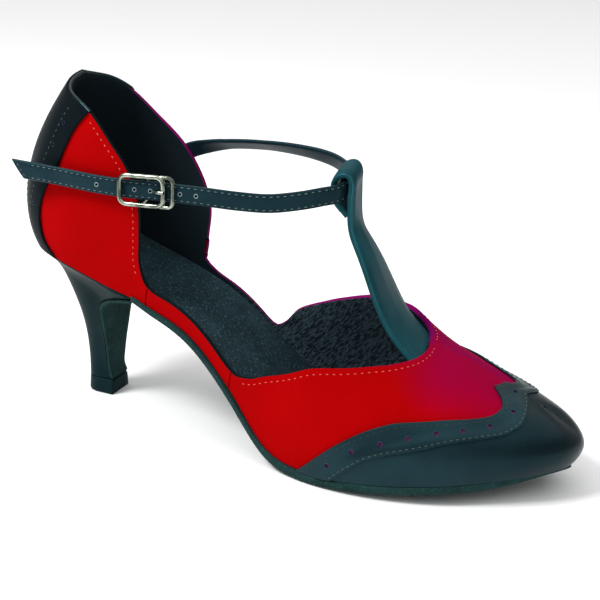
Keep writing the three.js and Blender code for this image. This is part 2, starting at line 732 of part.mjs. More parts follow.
// Buckle frame with its second end loop, and the middle bar that bows behind the strap
function buckleFrame() {
  const end = BUCKLE_LENGTH / 2;
  const half = BUCKLE_HEIGHT / 2;
  const edge = BUCKLE_WIRE * 0.25;
  const shape = roundedBox(new THREE.Shape(), -end, end, half, BUCKLE_CORNER);
  const inner = half - BUCKLE_WIRE;
  const corner = BUCKLE_CORNER - BUCKLE_WIRE;
  shape.holes.push(
    roundedBox(new THREE.Path(), BUCKLE_WIRE - end, PRONG_BAR_END - BUCKLE_WIRE, inner, corner),
    roundedBox(new THREE.Path(), PRONG_BAR_END, end - BUCKLE_WIRE, inner, BUCKLE_SLOT * 0.45),
  );
  const plate = new THREE.ExtrudeGeometry(shape, {
    depth: BUCKLE_WIRE - 2 * edge,
    bevelSize: edge,
    bevelThickness: edge,
    bevelOffset: -edge,
    bevelSegments: 1,
    curveSegments: 3,
  });
  plate.translate(0, 0, FRAME_BACK + edge);
  const beside = STRAP_WIDTH / 2 + CLEARANCE + BAR_DIAMETER / 2;
  const side = [
    [half - BUCKLE_WIRE / 2, FRAME_BACK + BUCKLE_WIRE / 2],
    [beside + 0.3, STRAP_FACE],
    [beside, -STRAP_FACE],
    [beside - 0.6, BAR_DEPTH * 0.9],
    [TAB_WIDTH / 2 + CLEARANCE, BAR_DEPTH],
  ];
  const bar = [
    ...side.map(([y, z]) => [BAR_ALONG, y, z]),
    [BAR_ALONG, 0, BAR_DEPTH],
    ...side.map(([y, z]) => [BAR_ALONG, -y, z]).reverse(),
  ];
  return toGeometry(toSolid(plate).add(toSolid(wire(bar, BAR_DIAMETER, 12))));
}

// The prong goes round the bar, out through the strap and on to the inner end bar
function prong(diameter, overrun) {
  const eye = (BAR_DIAMETER + PRONG_DIAMETER) / 2 + CLEARANCE;
  const rest = FRAME_FACE + CLEARANCE + PRONG_DIAMETER / 2;
  const path = [
    [BAR_ALONG - eye, 0, BAR_DEPTH],
    [BAR_ALONG - eye * 0.7, 0, BAR_DEPTH - eye * 0.7],
    [BAR_ALONG, 0, BAR_DEPTH - eye],
    [BAR_ALONG + eye * 0.7, 0, BAR_DEPTH - eye * 0.7],
    [BAR_ALONG + eye, 0, BAR_DEPTH],
    [BAR_ALONG + 2.2 * eye, 0, -STRAP_FACE],
    [BAR_ALONG + 3.4 * eye, 0, STRAP_FACE + CLEARANCE],
    [PRONG_BAR_END - BUCKLE_WIRE - 0.6, 0, rest],
    [PRONG_BAR_END - BUCKLE_WIRE / 2 + overrun, 0, rest],
  ];
  return wire(path, diameter, 16);
}

// Tab of leather that holds the buckle: lapped on the quarter and folded round the bar
function tabPath() {
  const arc = [90, 45, 0, -45, -90].map((degrees) => {
    const angle = THREE.MathUtils.degToRad(degrees);
    return [BAR_ALONG + BAR_WRAP * Math.cos(angle), BAR_DEPTH + BAR_WRAP * Math.sin(angle)];
  });
  const back = BAR_ALONG - BAR_WRAP - TAB_THICKNESS;
  return [
    [back - TAB_LAP, TAB_DEPTH - TAB_BEND],
    [back - TAB_LAP / 2, TAB_DEPTH - TAB_BEND * 0.4],
    [back, TAB_DEPTH],
    ...arc,
    [BAR_ALONG - BAR_WRAP, BAR_DEPTH - BAR_WRAP * 0.5],
    [back, TAB_DEPTH - TAB_THICKNESS * 0.6],
  ];
}

function buckleTab() {
  const path = tabPath().map(([x, z]) => new THREE.Vector3(x, 0, z));
  const side = new THREE.Vector3(0, 1, 0);
  const stations = path.map((point, i) => {
    const ahead = path[Math.min(i + 1, path.length - 1)];
    const behind = path[Math.max(i - 1, 0)];
    const tangent = ahead.clone().sub(behind).normalize();
    return { point, side, face: tangent.cross(side) };
  });
  const ring = (station) => strapRing(station, strapOutline(TAB_WIDTH, TAB_THICKNESS, []));
  const lap = toSolid(loft(stations.slice(0, 4).map(ring)));
  const fold = toSolid(loft(stations.slice(2).map(ring)));
  const slot = toSolid(prong(PRONG_DIAMETER + 2 * CLEARANCE, 0));
  return toGeometry(lap.add(fold).subtract(slot));
}

// Ankle strap, with the prong's hole and its tail cut on the slant
function ankleStrap() {
  const count = 46;
  const outline = strapOutline(STRAP_WIDTH, STRAP_THICKNESS, []);
  const rings = Array.from({ length: count + 1 }, (_, i) => strapRing(strapStation(i / count), outline));
  const tail = strapStation(0);
  const tip = tail.point.clone().addScaledVector(tail.side, STRAP_WIDTH / 2);
  const slant = tail.tangent.clone().multiplyScalar(STRAP_WIDTH);
  slant.addScaledVector(tail.side, TAIL_CUT).normalize();
  const hole = prong(PRONG_DIAMETER + 2 * CLEARANCE, 0).applyMatrix4(BUCKLE_PLACE);
  return toGeometry(
    toSolid(loft(rings)).subtract(toSolid(hole)).trimByPlane(slant.toArray(), slant.dot(tip)),
  );
}

// A point on the last beside the ridge of the foot, and the direction out of the last there
function besideRidge(rib, across) {
  const side = across < 0 ? LATERAL : MEDIAL;
  const ridge = handleAt(ringPlace(rib, side), 3).y;
  let low = 0.4;
  let high = 1;
  for (let i = 0; i < 24; i++) {
    const middle = (low + high) / 2;
    if (Math.abs(lastPoint(rib, side, middle).y - ridge) > Math.abs(across)) low = middle;
    else high = middle;
  }
  const point = lastPoint(rib, side, high);
  const along = lastPoint(rib + 0.1, side, high).sub(lastPoint(rib - 0.1, side, high));
  const upwards = point.clone().sub(lastPoint(rib, side, high - 0.02));
  return { point, out: along.cross(upwards).multiplyScalar(-side).normalize() };
}

// T-strap: tucked under the vamp at the throat, up over the form of the instep, then round the
// ankle strap and down behind itself
const T_STRAP_TOP_RIB = 7.85;

function tStrapRise() {
  const start = THROAT_RIB + T_STRAP_TUCK / (LENGTH * (RIBS[11].crownAt - RIBS[10].crownAt));
  const under = WALL + CLEARANCE + T_STRAP_THICKNESS / 2 + T_STRAP_EASE;
  const over = T_STRAP_THICKNESS / 2 - T_STRAP_LIFT;
  const count = 13;
  return Array.from({ length: count + 1 }, (_, i) => {
    const along = i / count;
    const rib = lerp(start, T_STRAP_TOP_RIB, along);
    const width = lerp(T_STRAP_BASE_WIDTH, T_STRAP_TOP_WIDTH, along ** T_STRAP_TAPER);
    const depth = lerp(over, under, THREE.MathUtils.smoothstep(rib, 8.2, 9.4));
    const follow = lerp(T_STRAP_FOLLOW, 1, THREE.MathUtils.smoothstep(rib, 8.8, 9.8));
    const ridge = besideRidge(rib, 0);
    return strapOutline(width, T_STRAP_THICKNESS, [0.5, 0, -0.5]).map(([across, height]) => {
      const beside = besideRidge(rib, across);
      const flat = ridge.point.clone().setY(ridge.point.y + across);
      const out = ridge.out.clone().lerp(beside.out, follow).normalize();
      return flat.lerp(beside.point, follow).addScaledVector(out, height - depth);
    });
  });
}

// The loop's middle line in the plane of the foot, from the top of the rise round the ankle strap
function tStrapLoop(top) {
  const { point, face } = strapStation(LOOP_SHARE);
  const forward = new THREE.Vector3(face.x, 0, face.z).normalize();
  const upward = new THREE.Vector3(-forward.z, 0, forward.x);
  if (upward.z < 0) upward.negate();
  const ahead = STRAP_FACE + CLEARANCE + T_STRAP_THICKNESS / 2;
  const behind = ahead + LOOP_BACK;
  const above = STRAP_WIDTH / 2 + CLEARANCE + LOOP_SLACK + T_STRAP_THICKNESS / 2;
  const around = (a, u) =>
    point.clone().addScaledVector(forward, a).addScaledVector(upward, u * above);
  return [
    top.clone(),
    around(ahead, -0.5), around(ahead, 0), around(ahead, 0.5), around(ahead * 0.6, 0.88),
    around(0, 1),
    around(-behind * 0.6, 0.86), around(-behind, 0.45), around(-behind, 0), around(-behind * 0.95, -0.6),
    top.clone().lerp(around(0, -1), 0.35),
  ];
}

function tStrap() {
  const rise = tStrapRise();
  const top = rise[rise.length - 1];
  const middle = (ring) => ring[3].clone().lerp(ring[ring.length - 4], 0.5);
  const path = new THREE.CatmullRomCurve3(tStrapLoop(middle(top)), false, "centripetal");
  const outline = strapOutline(T_STRAP_TOP_WIDTH, T_STRAP_THICKNESS, [0.5, 0, -0.5]);
  const across = new THREE.Vector3(0, 1, 0);
  const strapAlong = strapStation(LOOP_SHARE).tangent;
  const steps = 20;
  const loop = Array.from({ length: steps + 1 }, (_, i) => {
    const share = i / steps;
    const turned = clamp(5 * share, 0, 1) * clamp(5 * (1 - share), 0, 1);
    const side = across.clone().lerp(strapAlong, turned).normalize();
    const tangent = path.getTangent(share).setY(0).normalize();
    const face = side.clone().cross(tangent).normalize();
    return strapRing({ point: path.getPoint(share), side, face }, outline);
  });
  const half = steps / 2;
  const front = toSolid(loft([...rise, ...loop.slice(1, half + 1)]));
  const behind = toSolid(loft(loop.slice(half)));
  return toGeometry(front.add(behind));
}

const shoe = new THREE.Group();

function add(parent, name, geometry, look) {
  const mesh = new THREE.Mesh(geometry, new THREE.MeshStandardMaterial(look));
  mesh.name = name;
  parent.add(mesh);
}

const RED_SUEDE = { color: 0xb40909, roughness: 0.95, metalness: 0 };
const BLACK_LEATHER = { color: 0x15222a, roughness: 0.35, metalness: 0 };
const BLACK_SUEDE = { color: 0x10161b, roughness: 0.95, metalness: 0 };
const SOLE_SUEDE = { color: 0x1c2a2c, roughness: 1, metalness: 0 };
const HARD_BLACK = { color: 0x12181c, roughness: 0.5, metalness: 0 };
const NICKEL = { color: 0xc8ccce, roughness: 0.25, metalness: 1 };

add(shoe, "upper", shell(UPPER_SURFACE, -WALL, 0), RED_SUEDE);
add(shoe, "toe_cap", overlay(wingPatch()), BLACK_LEATHER);
add(shoe, "back_strip", overlay(stripPatch()), BLACK_LEATHER);
add(shoe, "insole", insole(), BLACK_SUEDE);
add(shoe, "outsole", outsole(), SOLE_SUEDE);
add(shoe, "heel", heel(), BLACK_LEATHER);
add(shoe, "heel_top_piece", topPiece(), HARD_BLACK);
add(shoe, "breast_flap", breastFlap(), SOLE_SUEDE);
add(shoe, "t_strap", tStrap(), BLACK_LEATHER);
add(shoe, "ankle_strap", ankleStrap(), BLACK_LEATHER);

const buckle = new THREE.Group();
BUCKLE_PLACE.decompose(buckle.position, buckle.quaternion, buckle.scale);
add(buckle, "buckle_frame", buckleFrame(), NICKEL);
add(buckle, "buckle_prong", prong(PRONG_DIAMETER, 0), NICKEL);
add(buckle, "buckle_tab", buckleTab(), BLACK_LEATHER);
shoe.add(buckle);

// The origin is the middle of the shoe's outline on the floor
const bounds = new THREE.Box3().setFromObject(shoe);
const middle = bounds.getCenter(new THREE.Vector3());
shoe.position.set(-middle.x, -middle.y, -bounds.min.z);

export default shoe;
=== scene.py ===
"""Closed-toe T-strap dance shoe for the right foot: suede, leather, stitching and buckle.

Lengths are in metres. +X runs to the toe, +Y to the inner side of the foot, +Z up.
"""
import math
from collections import namedtuple
from functools import cache

import bmesh
import bpy
from bpy.props import FloatProperty, FloatVectorProperty, PointerProperty
from mathutils import Matrix, Vector
from mathutils.kdtree import KDTree


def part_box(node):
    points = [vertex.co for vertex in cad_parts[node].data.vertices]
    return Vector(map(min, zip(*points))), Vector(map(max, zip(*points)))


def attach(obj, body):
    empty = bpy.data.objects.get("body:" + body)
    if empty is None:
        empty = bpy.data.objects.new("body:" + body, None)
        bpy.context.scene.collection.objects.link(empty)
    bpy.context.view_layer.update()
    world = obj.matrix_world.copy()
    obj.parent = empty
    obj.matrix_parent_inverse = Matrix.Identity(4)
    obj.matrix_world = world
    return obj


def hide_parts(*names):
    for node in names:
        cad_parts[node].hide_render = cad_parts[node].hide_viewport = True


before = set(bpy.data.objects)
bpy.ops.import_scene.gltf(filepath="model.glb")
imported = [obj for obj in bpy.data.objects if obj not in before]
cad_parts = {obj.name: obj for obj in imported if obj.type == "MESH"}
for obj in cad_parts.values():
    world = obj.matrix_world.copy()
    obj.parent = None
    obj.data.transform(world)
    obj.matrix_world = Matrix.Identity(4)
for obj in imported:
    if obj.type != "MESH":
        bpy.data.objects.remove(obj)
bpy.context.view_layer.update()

bl_info = {
    "name": "T-strap dance shoe",
    "version": (1, 0, 0),
    "blender": (4, 5, 0),
    "location": "View3D > Sidebar > Shoe",
    "description": "Builds the upper, sole, heel, straps, buckle and stitching of a dance shoe",
    "category": "Add Mesh",
}

MM = 0.001

# The last, as in the solids
LENGTH = 223 * MM
BALL_WIDTH = 76 * MM
HEEL_HEIGHT = 59 * MM
INSTEP_HEIGHT = 100 * MM
TOE_SPRING = 7 * MM
SOLE_THICKNESS = 3 * MM
TREAD_CURVE = 2.4 * MM
WALL = 1.8 * MM
CLEARANCE = 0.3 * MM
TIP_FRONT = 36.9 * MM

# Straps and buckle, as in the solids
STRAP_WIDTH = 6.7 * MM
STRAP_THICKNESS = 1.7 * MM
TAIL_CUT = 5.5 * MM
BUCKLE_LENGTH = 22 * MM
BUCKLE_HEIGHT = 11.8 * MM
BUCKLE_WIRE = 1.7 * MM
BUCKLE_SLOT = 1.8 * MM
BAR_ALONG = -2 * MM
BAR_DIAMETER = 1.2 * MM
PRONG_DIAMETER = 1.3 * MM
TAB_THICKNESS = 0.8 * MM
TAB_STANDOFF = 0.5 * MM

LATERAL = -1
MEDIAL = 1
SIDES = (LATERAL, MEDIAL)
UP = Vector((0, 0, 1))

# Fineness of curves and meshes
FINE_STEPS = 400
SHARP_EDGE = 0.85
BEND_STEPS = 6
PROFILE_STEPS = 34
GROOVE_REACH = 0.3 * MM

# Ribs of the last, heel to toe, as shares of the sizes above
RIB_COLUMNS = (
    "at lateral medial arch curve spring crown_at crown_side crown_shift height "
    "low_bulge low_rise lateral_bulge medial_bulge high_drop steer"
).split()
RIBS = [dict(zip(RIB_COLUMNS, row)) for row in (
    (0.036, 0.0, 0.0, 1.008, 0, 0, 0.115, 0, 0, 0.69, 0.19, 0.24, 0.335, 0.335, 0.4, 0),
    (0.051, 0.195, 0.195, 1.01, 0, 0, 0.134, 0.185, 0, 0.69, 0.122, 0.24, 0.19, 0.19, 0.41, 0),
    (0.108, 0.31, 0.31, 0.98, 0, 0, 0.19, 0.29, 0, 0.705, 0.06, 0.26, 0.08, 0.08, 0.42, 0),
    (0.2, 0.322, 0.31, 0.87, 0, 0, 0.27, 0.29, 0, 0.77, 0.052, 0.27, 0.092, 0.092, 0.42, 0),
    (0.287, 0.316, 0.29, 0.772, 0, 0, 0.342, 0.263, 0, 0.815, 0.052, 0.27, 0.105, 0.105, 0.42, 0),
    (0.368, 0.322, 0.283, 0.627, 0, 0, 0.413, 0.21, 0, 0.86, 0.046, 0.26, 0.13, 0.13, 0.4, 0),
    (0.444, 0.362, 0.309, 0.37, 0, 0, 0.48, 0.105, 0, 0.938, 0.04, 0.24, 0.185, 0.185, 0.32, 0),
    (0.52, 0.421, 0.382, 0.068, 0.05, 0, 0.547, 0.026, 0, 0.972, 0.033, 0.27, 0.24, 0.24, 0.25, 0),
    (0.592, 0.474, 0.441, 0, 0.25, 0, 0.61, 0, 0.007, 0.796, 0.033, 0.33, 0.27, 0.27, 0.15, 1),
    (0.664, 0.491, 0.467, 0, 0.65, 0, 0.673, 0, 0.025, 0.564, 0.033, 0.43, 0.3, 0.35, 0.05, 1),
    (0.735, 0.467, 0.461, 0, 0.95, 0.11, 0.735, 0, 0.032, 0.4, 0.033, 0.5, 0.3, 0.42, 0, 1),
    (0.807, 0.4, 0.42, 0, 1, 0.31, 0.794, 0, 0.034, 0.33, 0.036, 0.52, 0.275, 0.3, 0, 1),
    (0.874, 0.298, 0.344, 0, 1, 0.54, 0.847, 0, 0.033, 0.264, 0.042, 0.52, 0.23, 0.265, 0, 1),
    (0.931, 0.186, 0.256, 0, 1, 0.74, 0.885, 0, 0.04, 0.215, 0.05, 0.5, 0.2, 0.225, 0, 1),
    (0.973, 0.064, 0.16, 0, 1, 0.9, 0.911, 0, 0.046, 0.182, 0.056, 0.47, 0.175, 0.175, 0, 1),
    (0.986, -0.053, 0.053, 0, 1, 0.97, 0.924, 0, 0.053, 0.16, 0.06, 0.47, 0.17, 0.17, 0, 1),
)]
TOE_RIB = len(RIBS) - 1
RING = 2 * TOE_RIB
THROAT_RIB = 10.05
RIB_STEP = 0.19

# Edges of the leather: rib, share of the way up from the sole to the crown
LATERAL_TOPLINE = (
    (0, 0.958), (0.9, 0.915), (1.95, 0.847), (2.66, 0.723), (3.12, 0.63), (3.47, 0.514),
    (3.66, 0.36), (3.78, 0.21), (4.0, 0.112), (4.6, 0.104), (5.5, 0.102), (6.08, 0.11),
    (6.45, 0.18), (6.95, 0.285), (7.72, 0.367), (8.56, 0.46), (9.28, 0.598), (9.63, 0.703),
    (9.88, 0.81), (10.02, 0.92), (THROAT_RIB, 1),
)
MEDIAL_TOPLINE = (
    (0, 0.958), (0.89, 0.914), (1.4, 0.862), (2.1, 0.742), (2.79, 0.632), (3.18, 0.553),
    (3.54, 0.463), (3.81, 0.36), (3.92, 0.22), (3.98, 0.09), (4.3, 0.056), (4.8, 0.053),
    (5.35, 0.05), (5.77, 0.053), (5.98, 0.11), (6.33, 0.255), (7.04, 0.4), (8.0, 0.49),
    (8.81, 0.61), (9.36, 0.75), (9.82, 0.88), (THROAT_RIB, 1),
)
TOPLINES = {LATERAL: LATERAL_TOPLINE, MEDIAL: MEDIAL_TOPLINE}
STRIP_EDGE = (
    (2.05, 0.005), (1.72, 0.09), (1.58, 0.2), (1.52, 0.328), (1.57, 0.443), (1.66, 0.55),
    (1.7, 0.656), (1.78, 0.757), (1.99, 0.838),
)

# Edges of the wing: share of the way up, rib on the outer and on the inner side
WING_EDGE = (
    (0, 7.9, 7.9), (0.1, 8.41, 8.33), (0.22, 9.06, 8.8), (0.31, 9.52, 9.13), (0.385, 9.94, 9.4),
    (0.46, 10.68, 9.68), (0.51, 11.2, 9.87), (0.585, 11.7, 10.2), (0.67, 11.95, 10.8),
    (0.74, 12.03, 11.7), (0.81, 11.98, 12.16), (0.89, 11.83, 12.36), (0.94, 12.06, 12.38),
    (1, 12.28, 12.28),
)
WING_PEAK_UP = 0.89
BAND_LINE = (
    (0, 8.74, 8.7), (0.08, 9.15, 9.1), (0.15, 9.55, 9.4), (0.21, 10.05, 9.65), (0.26, 10.55, 9.9),
    (0.31, 10.95, 10.1), (0.37, 11.5, 10.35), (0.44, 12.1, 10.75), (0.51, 12.38, 11.2),
    (0.57, 12.58, 11.75), (0.64, 12.7, 12.5), (0.73, 12.86, 12.92), (0.85, 13.08, 13.1),
    (0.93, 13.25, 13.24), (1, 13.4, 13.4),
)
# Pinholes of the wing on the outer and on the inner side, heel to toe
LATERAL_HOLES = (
    (8.65, 0.07), (9.15, 0.16), (9.7, 0.24), (10.2, 0.31), (10.7, 0.37), (11.2, 0.42),
    (11.75, 0.5), (12.35, 0.69), (12.7, 0.95),
)
MEDIAL_HOLES = (
    (8.62, 0.07), (9.1, 0.17), (9.55, 0.27), (9.95, 0.36), (10.35, 0.45), (10.9, 0.54),
    (11.65, 0.6), (12.4, 0.68),
)
WING_HOLES = {LATERAL: LATERAL_HOLES, MEDIAL: MEDIAL_HOLES}
# Small holes of the back strip
STRIP_HOLES = ((1.47, 0.77), (1.41, 0.66), (1.3, 0.32), (1.26, 0.16))

# Ankle strap from its tail round the front to the inner quarter: along, across, lift, rise, lean
ANKLE_STRAP = (
    (0.045, -0.383, 1, 0.333, 0), (0.137, -0.388, 1, 0.328, 0), (0.209, -0.392, 1, 0.322, 2),
    (0.262, -0.39, 1, 0.322, 4), (0.317, -0.379, 0.79, 0.45, 6), (0.384, -0.349, 0.68, 0.514, 4),
    (0.447, -0.306, 0.49, 0.62, 2), (0.491, -0.264, 0.32, 0.72, 0), (0.533, -0.207, 0.17, 0.822, 0),
    (0.561, -0.15, 0.1, 0.876, 2), (0.58, -0.08, 0.05, 0.913, 0), (0.586, 0, 0.05, 0.932, 0),
    (0.579, 0.08, 0.06, 0.944, 6), (0.56, 0.145, 0.1, 0.936, 16), (0.53, 0.203, 0.22, 0.878, 28),
    (0.475, 0.262, 0.4, 0.778, 42), (0.396, 0.318, 0.66, 0.618, 54), (0.319, 0.35, 0.81, 0.51, 54),
    (0.279, 0.363, 0.9, 0.437, 40), (0.242, 0.373, 1, 0.352, 20), (0.202, 0.376, 1, 0.305, 8),
)
BUCKLE_SHARE = 0.185

# Height of the leather seen at the bottom of a hole
HOLE_FLOOR = CLEARANCE + 0.12 * MM

TIP_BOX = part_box("heel_top_piece")
LAST_ORIGIN = Vector((TIP_BOX[1].x - TIP_FRONT, (TIP_BOX[0].y + TIP_BOX[1].y) / 2, 0))
# Where the leather of the counter ends and the folded suede edge begins
EDGE_START = LAST_ORIGIN.x + 0.135 * LENGTH


# Form of the last

def mix(a, b, share):
    return a + (b - a) * share


def clamp(value, low, high):
    return max(low, min(high, value))


def smoothstep(value, low, high):
    share = clamp((value - low) / (high - low), 0, 1)
    return share * share * (3 - 2 * share)


def ring_place(rib, side):
    return rib if side == LATERAL else RING - rib


def feather_height(rib):
    shape = TREAD_CURVE * rib["curve"] + HEEL_HEIGHT * rib["arch"] + TOE_SPRING * rib["spring"]
    return SOLE_THICKNESS + CLEARANCE + shape


def ridge_slope(number):
    before, after = RIBS[max(number - 1, 0)], RIBS[min(number + 1, TOE_RIB)]
    rise = feather_height(after) - feather_height(before)
    rise += (after["height"] - before["height"]) * INSTEP_HEIGHT
    return rise / ((after["crown_at"] - before["crown_at"]) * LENGTH)


def rib_handles():
    """Four handle points of every rib in a closed ring: outer side heel to toe, then back."""
    ring = []
    for i in range(RING):
        side = LATERAL if i <= TOE_RIB else MEDIAL
        number = i if i <= TOE_RIB else RING - i
        rib = RIBS[number]
        across = (-rib["lateral"] if side == LATERAL else rib["medial"]) * BALL_WIDTH
        ring.append((side, number, Vector((rib["at"] * LENGTH, across, feather_height(rib)))))
    handles = []
    for i, (side, number, foot) in enumerate(ring):
        rib = RIBS[number]
        after, before = ring[(i + 1) % RING][2], ring[i - 1][2]
        out = Vector((after.y - before.y, before.x - after.x)).normalized()
        height = rib["height"] * INSTEP_HEIGHT
        crown_side = side * rib["crown_side"] + rib["crown_shift"]
        crown = Vector((rib["crown_at"] * LENGTH, crown_side * BALL_WIDTH, foot.z + height))
        low = rib["low_bulge"] * BALL_WIDTH
        high = (rib["lateral_bulge"] if side == LATERAL else rib["medial_bulge"]) * BALL_WIDTH
        climb = rib["steer"] * ridge_slope(number) * out.x * high
        handles.append((
            foot,
            foot + Vector((out.x * low, out.y * low, rib["low_rise"] * height)),
            crown + Vector((out.x * high, out.y * high, climb - rib["high_drop"] * height)),
            crown,
        ))
    return [[point + LAST_ORIGIN for point in row] for row in handles]


HANDLES = rib_handles()


def catmull_rom(p0, p1, p2, p3, f):
    cube = 3 * p1 - p0 - 3 * p2 + p3
    square = 2 * p0 - 5 * p1 + 4 * p2 - p3
    return 0.5 * (2 * p1 + (p2 - p0) * f + square * (f * f) + cube * (f * f * f))


def handle_at(place, which):
    whole = math.floor(place)
    near = [HANDLES[(whole + step + 2 * RING) % RING][which] for step in (-1, 0, 1, 2)]
    return catmull_rom(*near, place - whole)


def last_at(place, up):
    foot, low, high, crown = (handle_at(place, which) for which in range(4))
    rest = 1 - up
    return (foot * rest ** 3 + low * (3 * rest * rest * up)
            + high * (3 * rest * up * up) + crown * up ** 3)


def last_slopes(place, up):
    step = 0.004
    along = (last_at(place + step, up) - last_at(place - step, up)) / (2 * step)
    high, low = min(up + step, 1), max(up - step, 0)
    rise = (last_at(place, high) - last_at(place, low)) / (high - low)
    return along, rise


def last_normal(place, up):
    along, rise = last_slopes(place, up)
    return along.cross(rise).normalized()


def on_last(place, up, height):
    return last_at(place, up) + last_normal(place, up) * height


def beside(place, up, heading, distance):
    """The place on the last at a distance to the left of a heading, seen from outside."""
    for _ in range(4):
        along, rise = last_slopes(place, up)
        tangent = (along * heading[0] + rise * heading[1]).normalized()
        step = last_normal(place, up).cross(tangent) * (distance / 4)
        aa, ar, rr = along.dot(along), along.dot(rise), rise.dot(rise)
        sa, sr = step.dot(along), step.dot(rise)
        det = aa * rr - ar * ar
        place += (sa * rr - sr * ar) / det
        up += (sr * aa - sa * ar) / det
    return place, up


class SmoothRun:
    """A centripetal curve through points."""

    def __init__(self, points):
        self.points = [Vector(point) for point in points]

    def _terms(self, share):
        points, count = self.points, len(self.points) - 1
        run = clamp(share, 0, 1) * count
        i = min(int(run), count - 1)
        here, after = points[i], points[i + 1]
        before = points[i - 1] if i > 0 else here * 2 - after
        beyond = points[i + 2] if i + 2 <= count else after * 2 - here
        gaps = [max(gap.length, 1e-9) ** 0.5 for gap in (here - before, after - here, beyond - after)]
        d0, d1, d2 = gaps
        t1 = ((here - before) / d0 - (after - before) / (d0 + d1) + (after - here) / d1) * d1
        t2 = ((after - here) / d1 - (beyond - here) / (d1 + d2) + (beyond - after) / d2) * d1
        return here, t1, (after - here) * 3 - t1 * 2 - t2, (here - after) * 2 + t1 + t2, run - i

    def at(self, share):
        c0, c1, c2, c3, f = self._terms(share)
        return c0 + c1 * f + c2 * (f * f) + c3 * (f * f * f)

    def tangent(self, share):
        _, c1, c2, c3, f = self._terms(share)
        return (c1 + c2 * (2 * f) + c3 * (3 * f * f)).normalized()

    def spaced(self, count):
        samples = [self.at(i / FINE_STEPS) for i in range(FINE_STEPS + 1)]
        return even_run(samples, count)


def even_run(points, count):
    """Points at even steps along a run of points."""
    lengths = [0.0]
    for here, after in zip(points, points[1:]):
        lengths.append(lengths[-1] + (after - here).length)
    result, k = [], 0
    for i in range(count + 1):
        want = lengths[-1] * i / count
        while k < len(points) - 2 and lengths[k + 1] < want:
            k += 1
        span = lengths[k + 1] - lengths[k]
        result.append(points[k].lerp(points[k + 1], (want - lengths[k]) / span if span else 0))
    return result


@cache
def edge_run(edge, count):
    """Even steps along an edge of the leather, as rib and share of the way up."""
    run = SmoothRun([(rib * RIB_STEP, up, 0) for rib, up in edge]).spaced(count)
    return [(point.x / RIB_STEP, clamp(point.y, 0, 1)) for point in run]


@cache
def wing_run(table, count):
    """Even steps up an edge of the wing, sharp at its peak: share of the way up, both ribs."""
    points = [Vector((outer * RIB_STEP, up, inner * RIB_STEP)) for up, outer, inner in table]
    peaks = [i for i, row in enumerate(table) if row[0] == WING_PEAK_UP]
    turn = peaks[0] if peaks else len(points) - 1
    steps = round(count * (0.85 if peaks else 1))
    run = SmoothRun(points[: turn + 1]).spaced(steps)
    if peaks:
        run += SmoothRun(points[turn:]).spaced(count - steps)[1:]
    return [(clamp(p.y, 0, 1), p.x / RIB_STEP, p.z / RIB_STEP) for p in run]


@cache
def heel_topline(side):
    """Even steps along the topline of the quarter."""
    return [step for step in edge_run(TOPLINES[side], 400) if step[0] < 3]


def topline_up(side, rib):
    """How far up the topline lies at a rib of the heel."""
    run = heel_topline(side)
    for (near, low), (far, high) in zip(run, run[1:]):
        if far >= rib:
            return mix(low, high, clamp((rib - near) / (far - near), 0, 1))
    return run[-1][1]


def beside_ridge(rib, across):
    """A point on the last beside the ridge of the foot, and the direction out of the last."""
    side = LATERAL if across < 0 else MEDIAL
    place = ring_place(rib, side)
    ridge = handle_at(place, 3).y
    low, high = 0.4, 1.0
    for _ in range(20):
        middle = (low + high) / 2
        if abs(last_at(place, middle).y - ridge) > abs(across):
            low = middle
        else:
            high = middle
    point = last_at(place, high)
    along = last_at(ring_place(rib + 0.1, side), high) - last_at(ring_place(rib - 0.1, side), high)
    upwards = point - last_at(place, high - 0.02)
    return point, (along.cross(upwards) * -side).normalized()


# Making meshes

def select_only(piece):
    bpy.ops.object.select_all(action="DESELECT")
    piece.select_set(True)
    bpy.context.view_layer.objects.active = piece


def add_object(name, data):
    made = bpy.data.objects.new(name, data)
    bpy.context.scene.collection.objects.link(made)
    return made


def add_primitive(operator, **values):
    """A new primitive, alone in the selection."""
    bpy.ops.object.select_all(action="DESELECT")
    operator(**values)
    return bpy.context.object


def edit_mesh(piece, operator, **values):
    """Runs one operator of edit mode on the whole of a piece."""
    select_only(piece)
    bpy.ops.object.mode_set(mode="EDIT")
    bpy.ops.mesh.select_all(action="SELECT")
    operator(**values)
    bpy.ops.object.mode_set(mode="OBJECT")


def merge(piece, distance):
    edit_mesh(piece, bpy.ops.mesh.remove_doubles, threshold=distance)


def fill_ends(piece):
    """Closes the open ends of a tube."""
    edit_mesh(piece, bpy.ops.mesh.fill_holes, sides=0)
    edit_mesh(piece, bpy.ops.mesh.normals_make_consistent, inside=False)


def drape(name, grid, gap=0):
    """A grid primitive laid over a form: grid holds its points by column and by row.

    Points that lie nearer than the gap become one.
    """
    columns, rows = len(grid) - 1, len(grid[0]) - 1
    piece = add_primitive(
        bpy.ops.mesh.primitive_grid_add, x_subdivisions=columns, y_subdivisions=rows, size=1,
    )
    piece.name = piece.data.name = name
    for vertex in piece.data.vertices:
        column = round((vertex.co.x + 0.5) * columns)
        row = round((vertex.co.y + 0.5) * rows)
        vertex.co = grid[column][row]
    if gap:
        merge(piece, gap)
    return piece


def apply_modifier(piece, kind, **values):
    select_only(piece)
    modifier = piece.modifiers.new(kind.title(), kind)
    for key, value in values.items():
        setattr(modifier, key, value)
    bpy.ops.object.modifier_apply(modifier=modifier.name)


def give_wall(piece, thickness, rounding=0, inner=0, rim=0):
    apply_modifier(
        piece, "SOLIDIFY", thickness=thickness, offset=-1, use_even_offset=False,
        material_offset=inner, material_offset_rim=rim,
    )
    if rounding:
        apply_modifier(
            piece, "BEVEL", width=rounding, segments=2, limit_method="ANGLE",
            angle_limit=math.radians(50), use_clamp_overlap=True,
        )


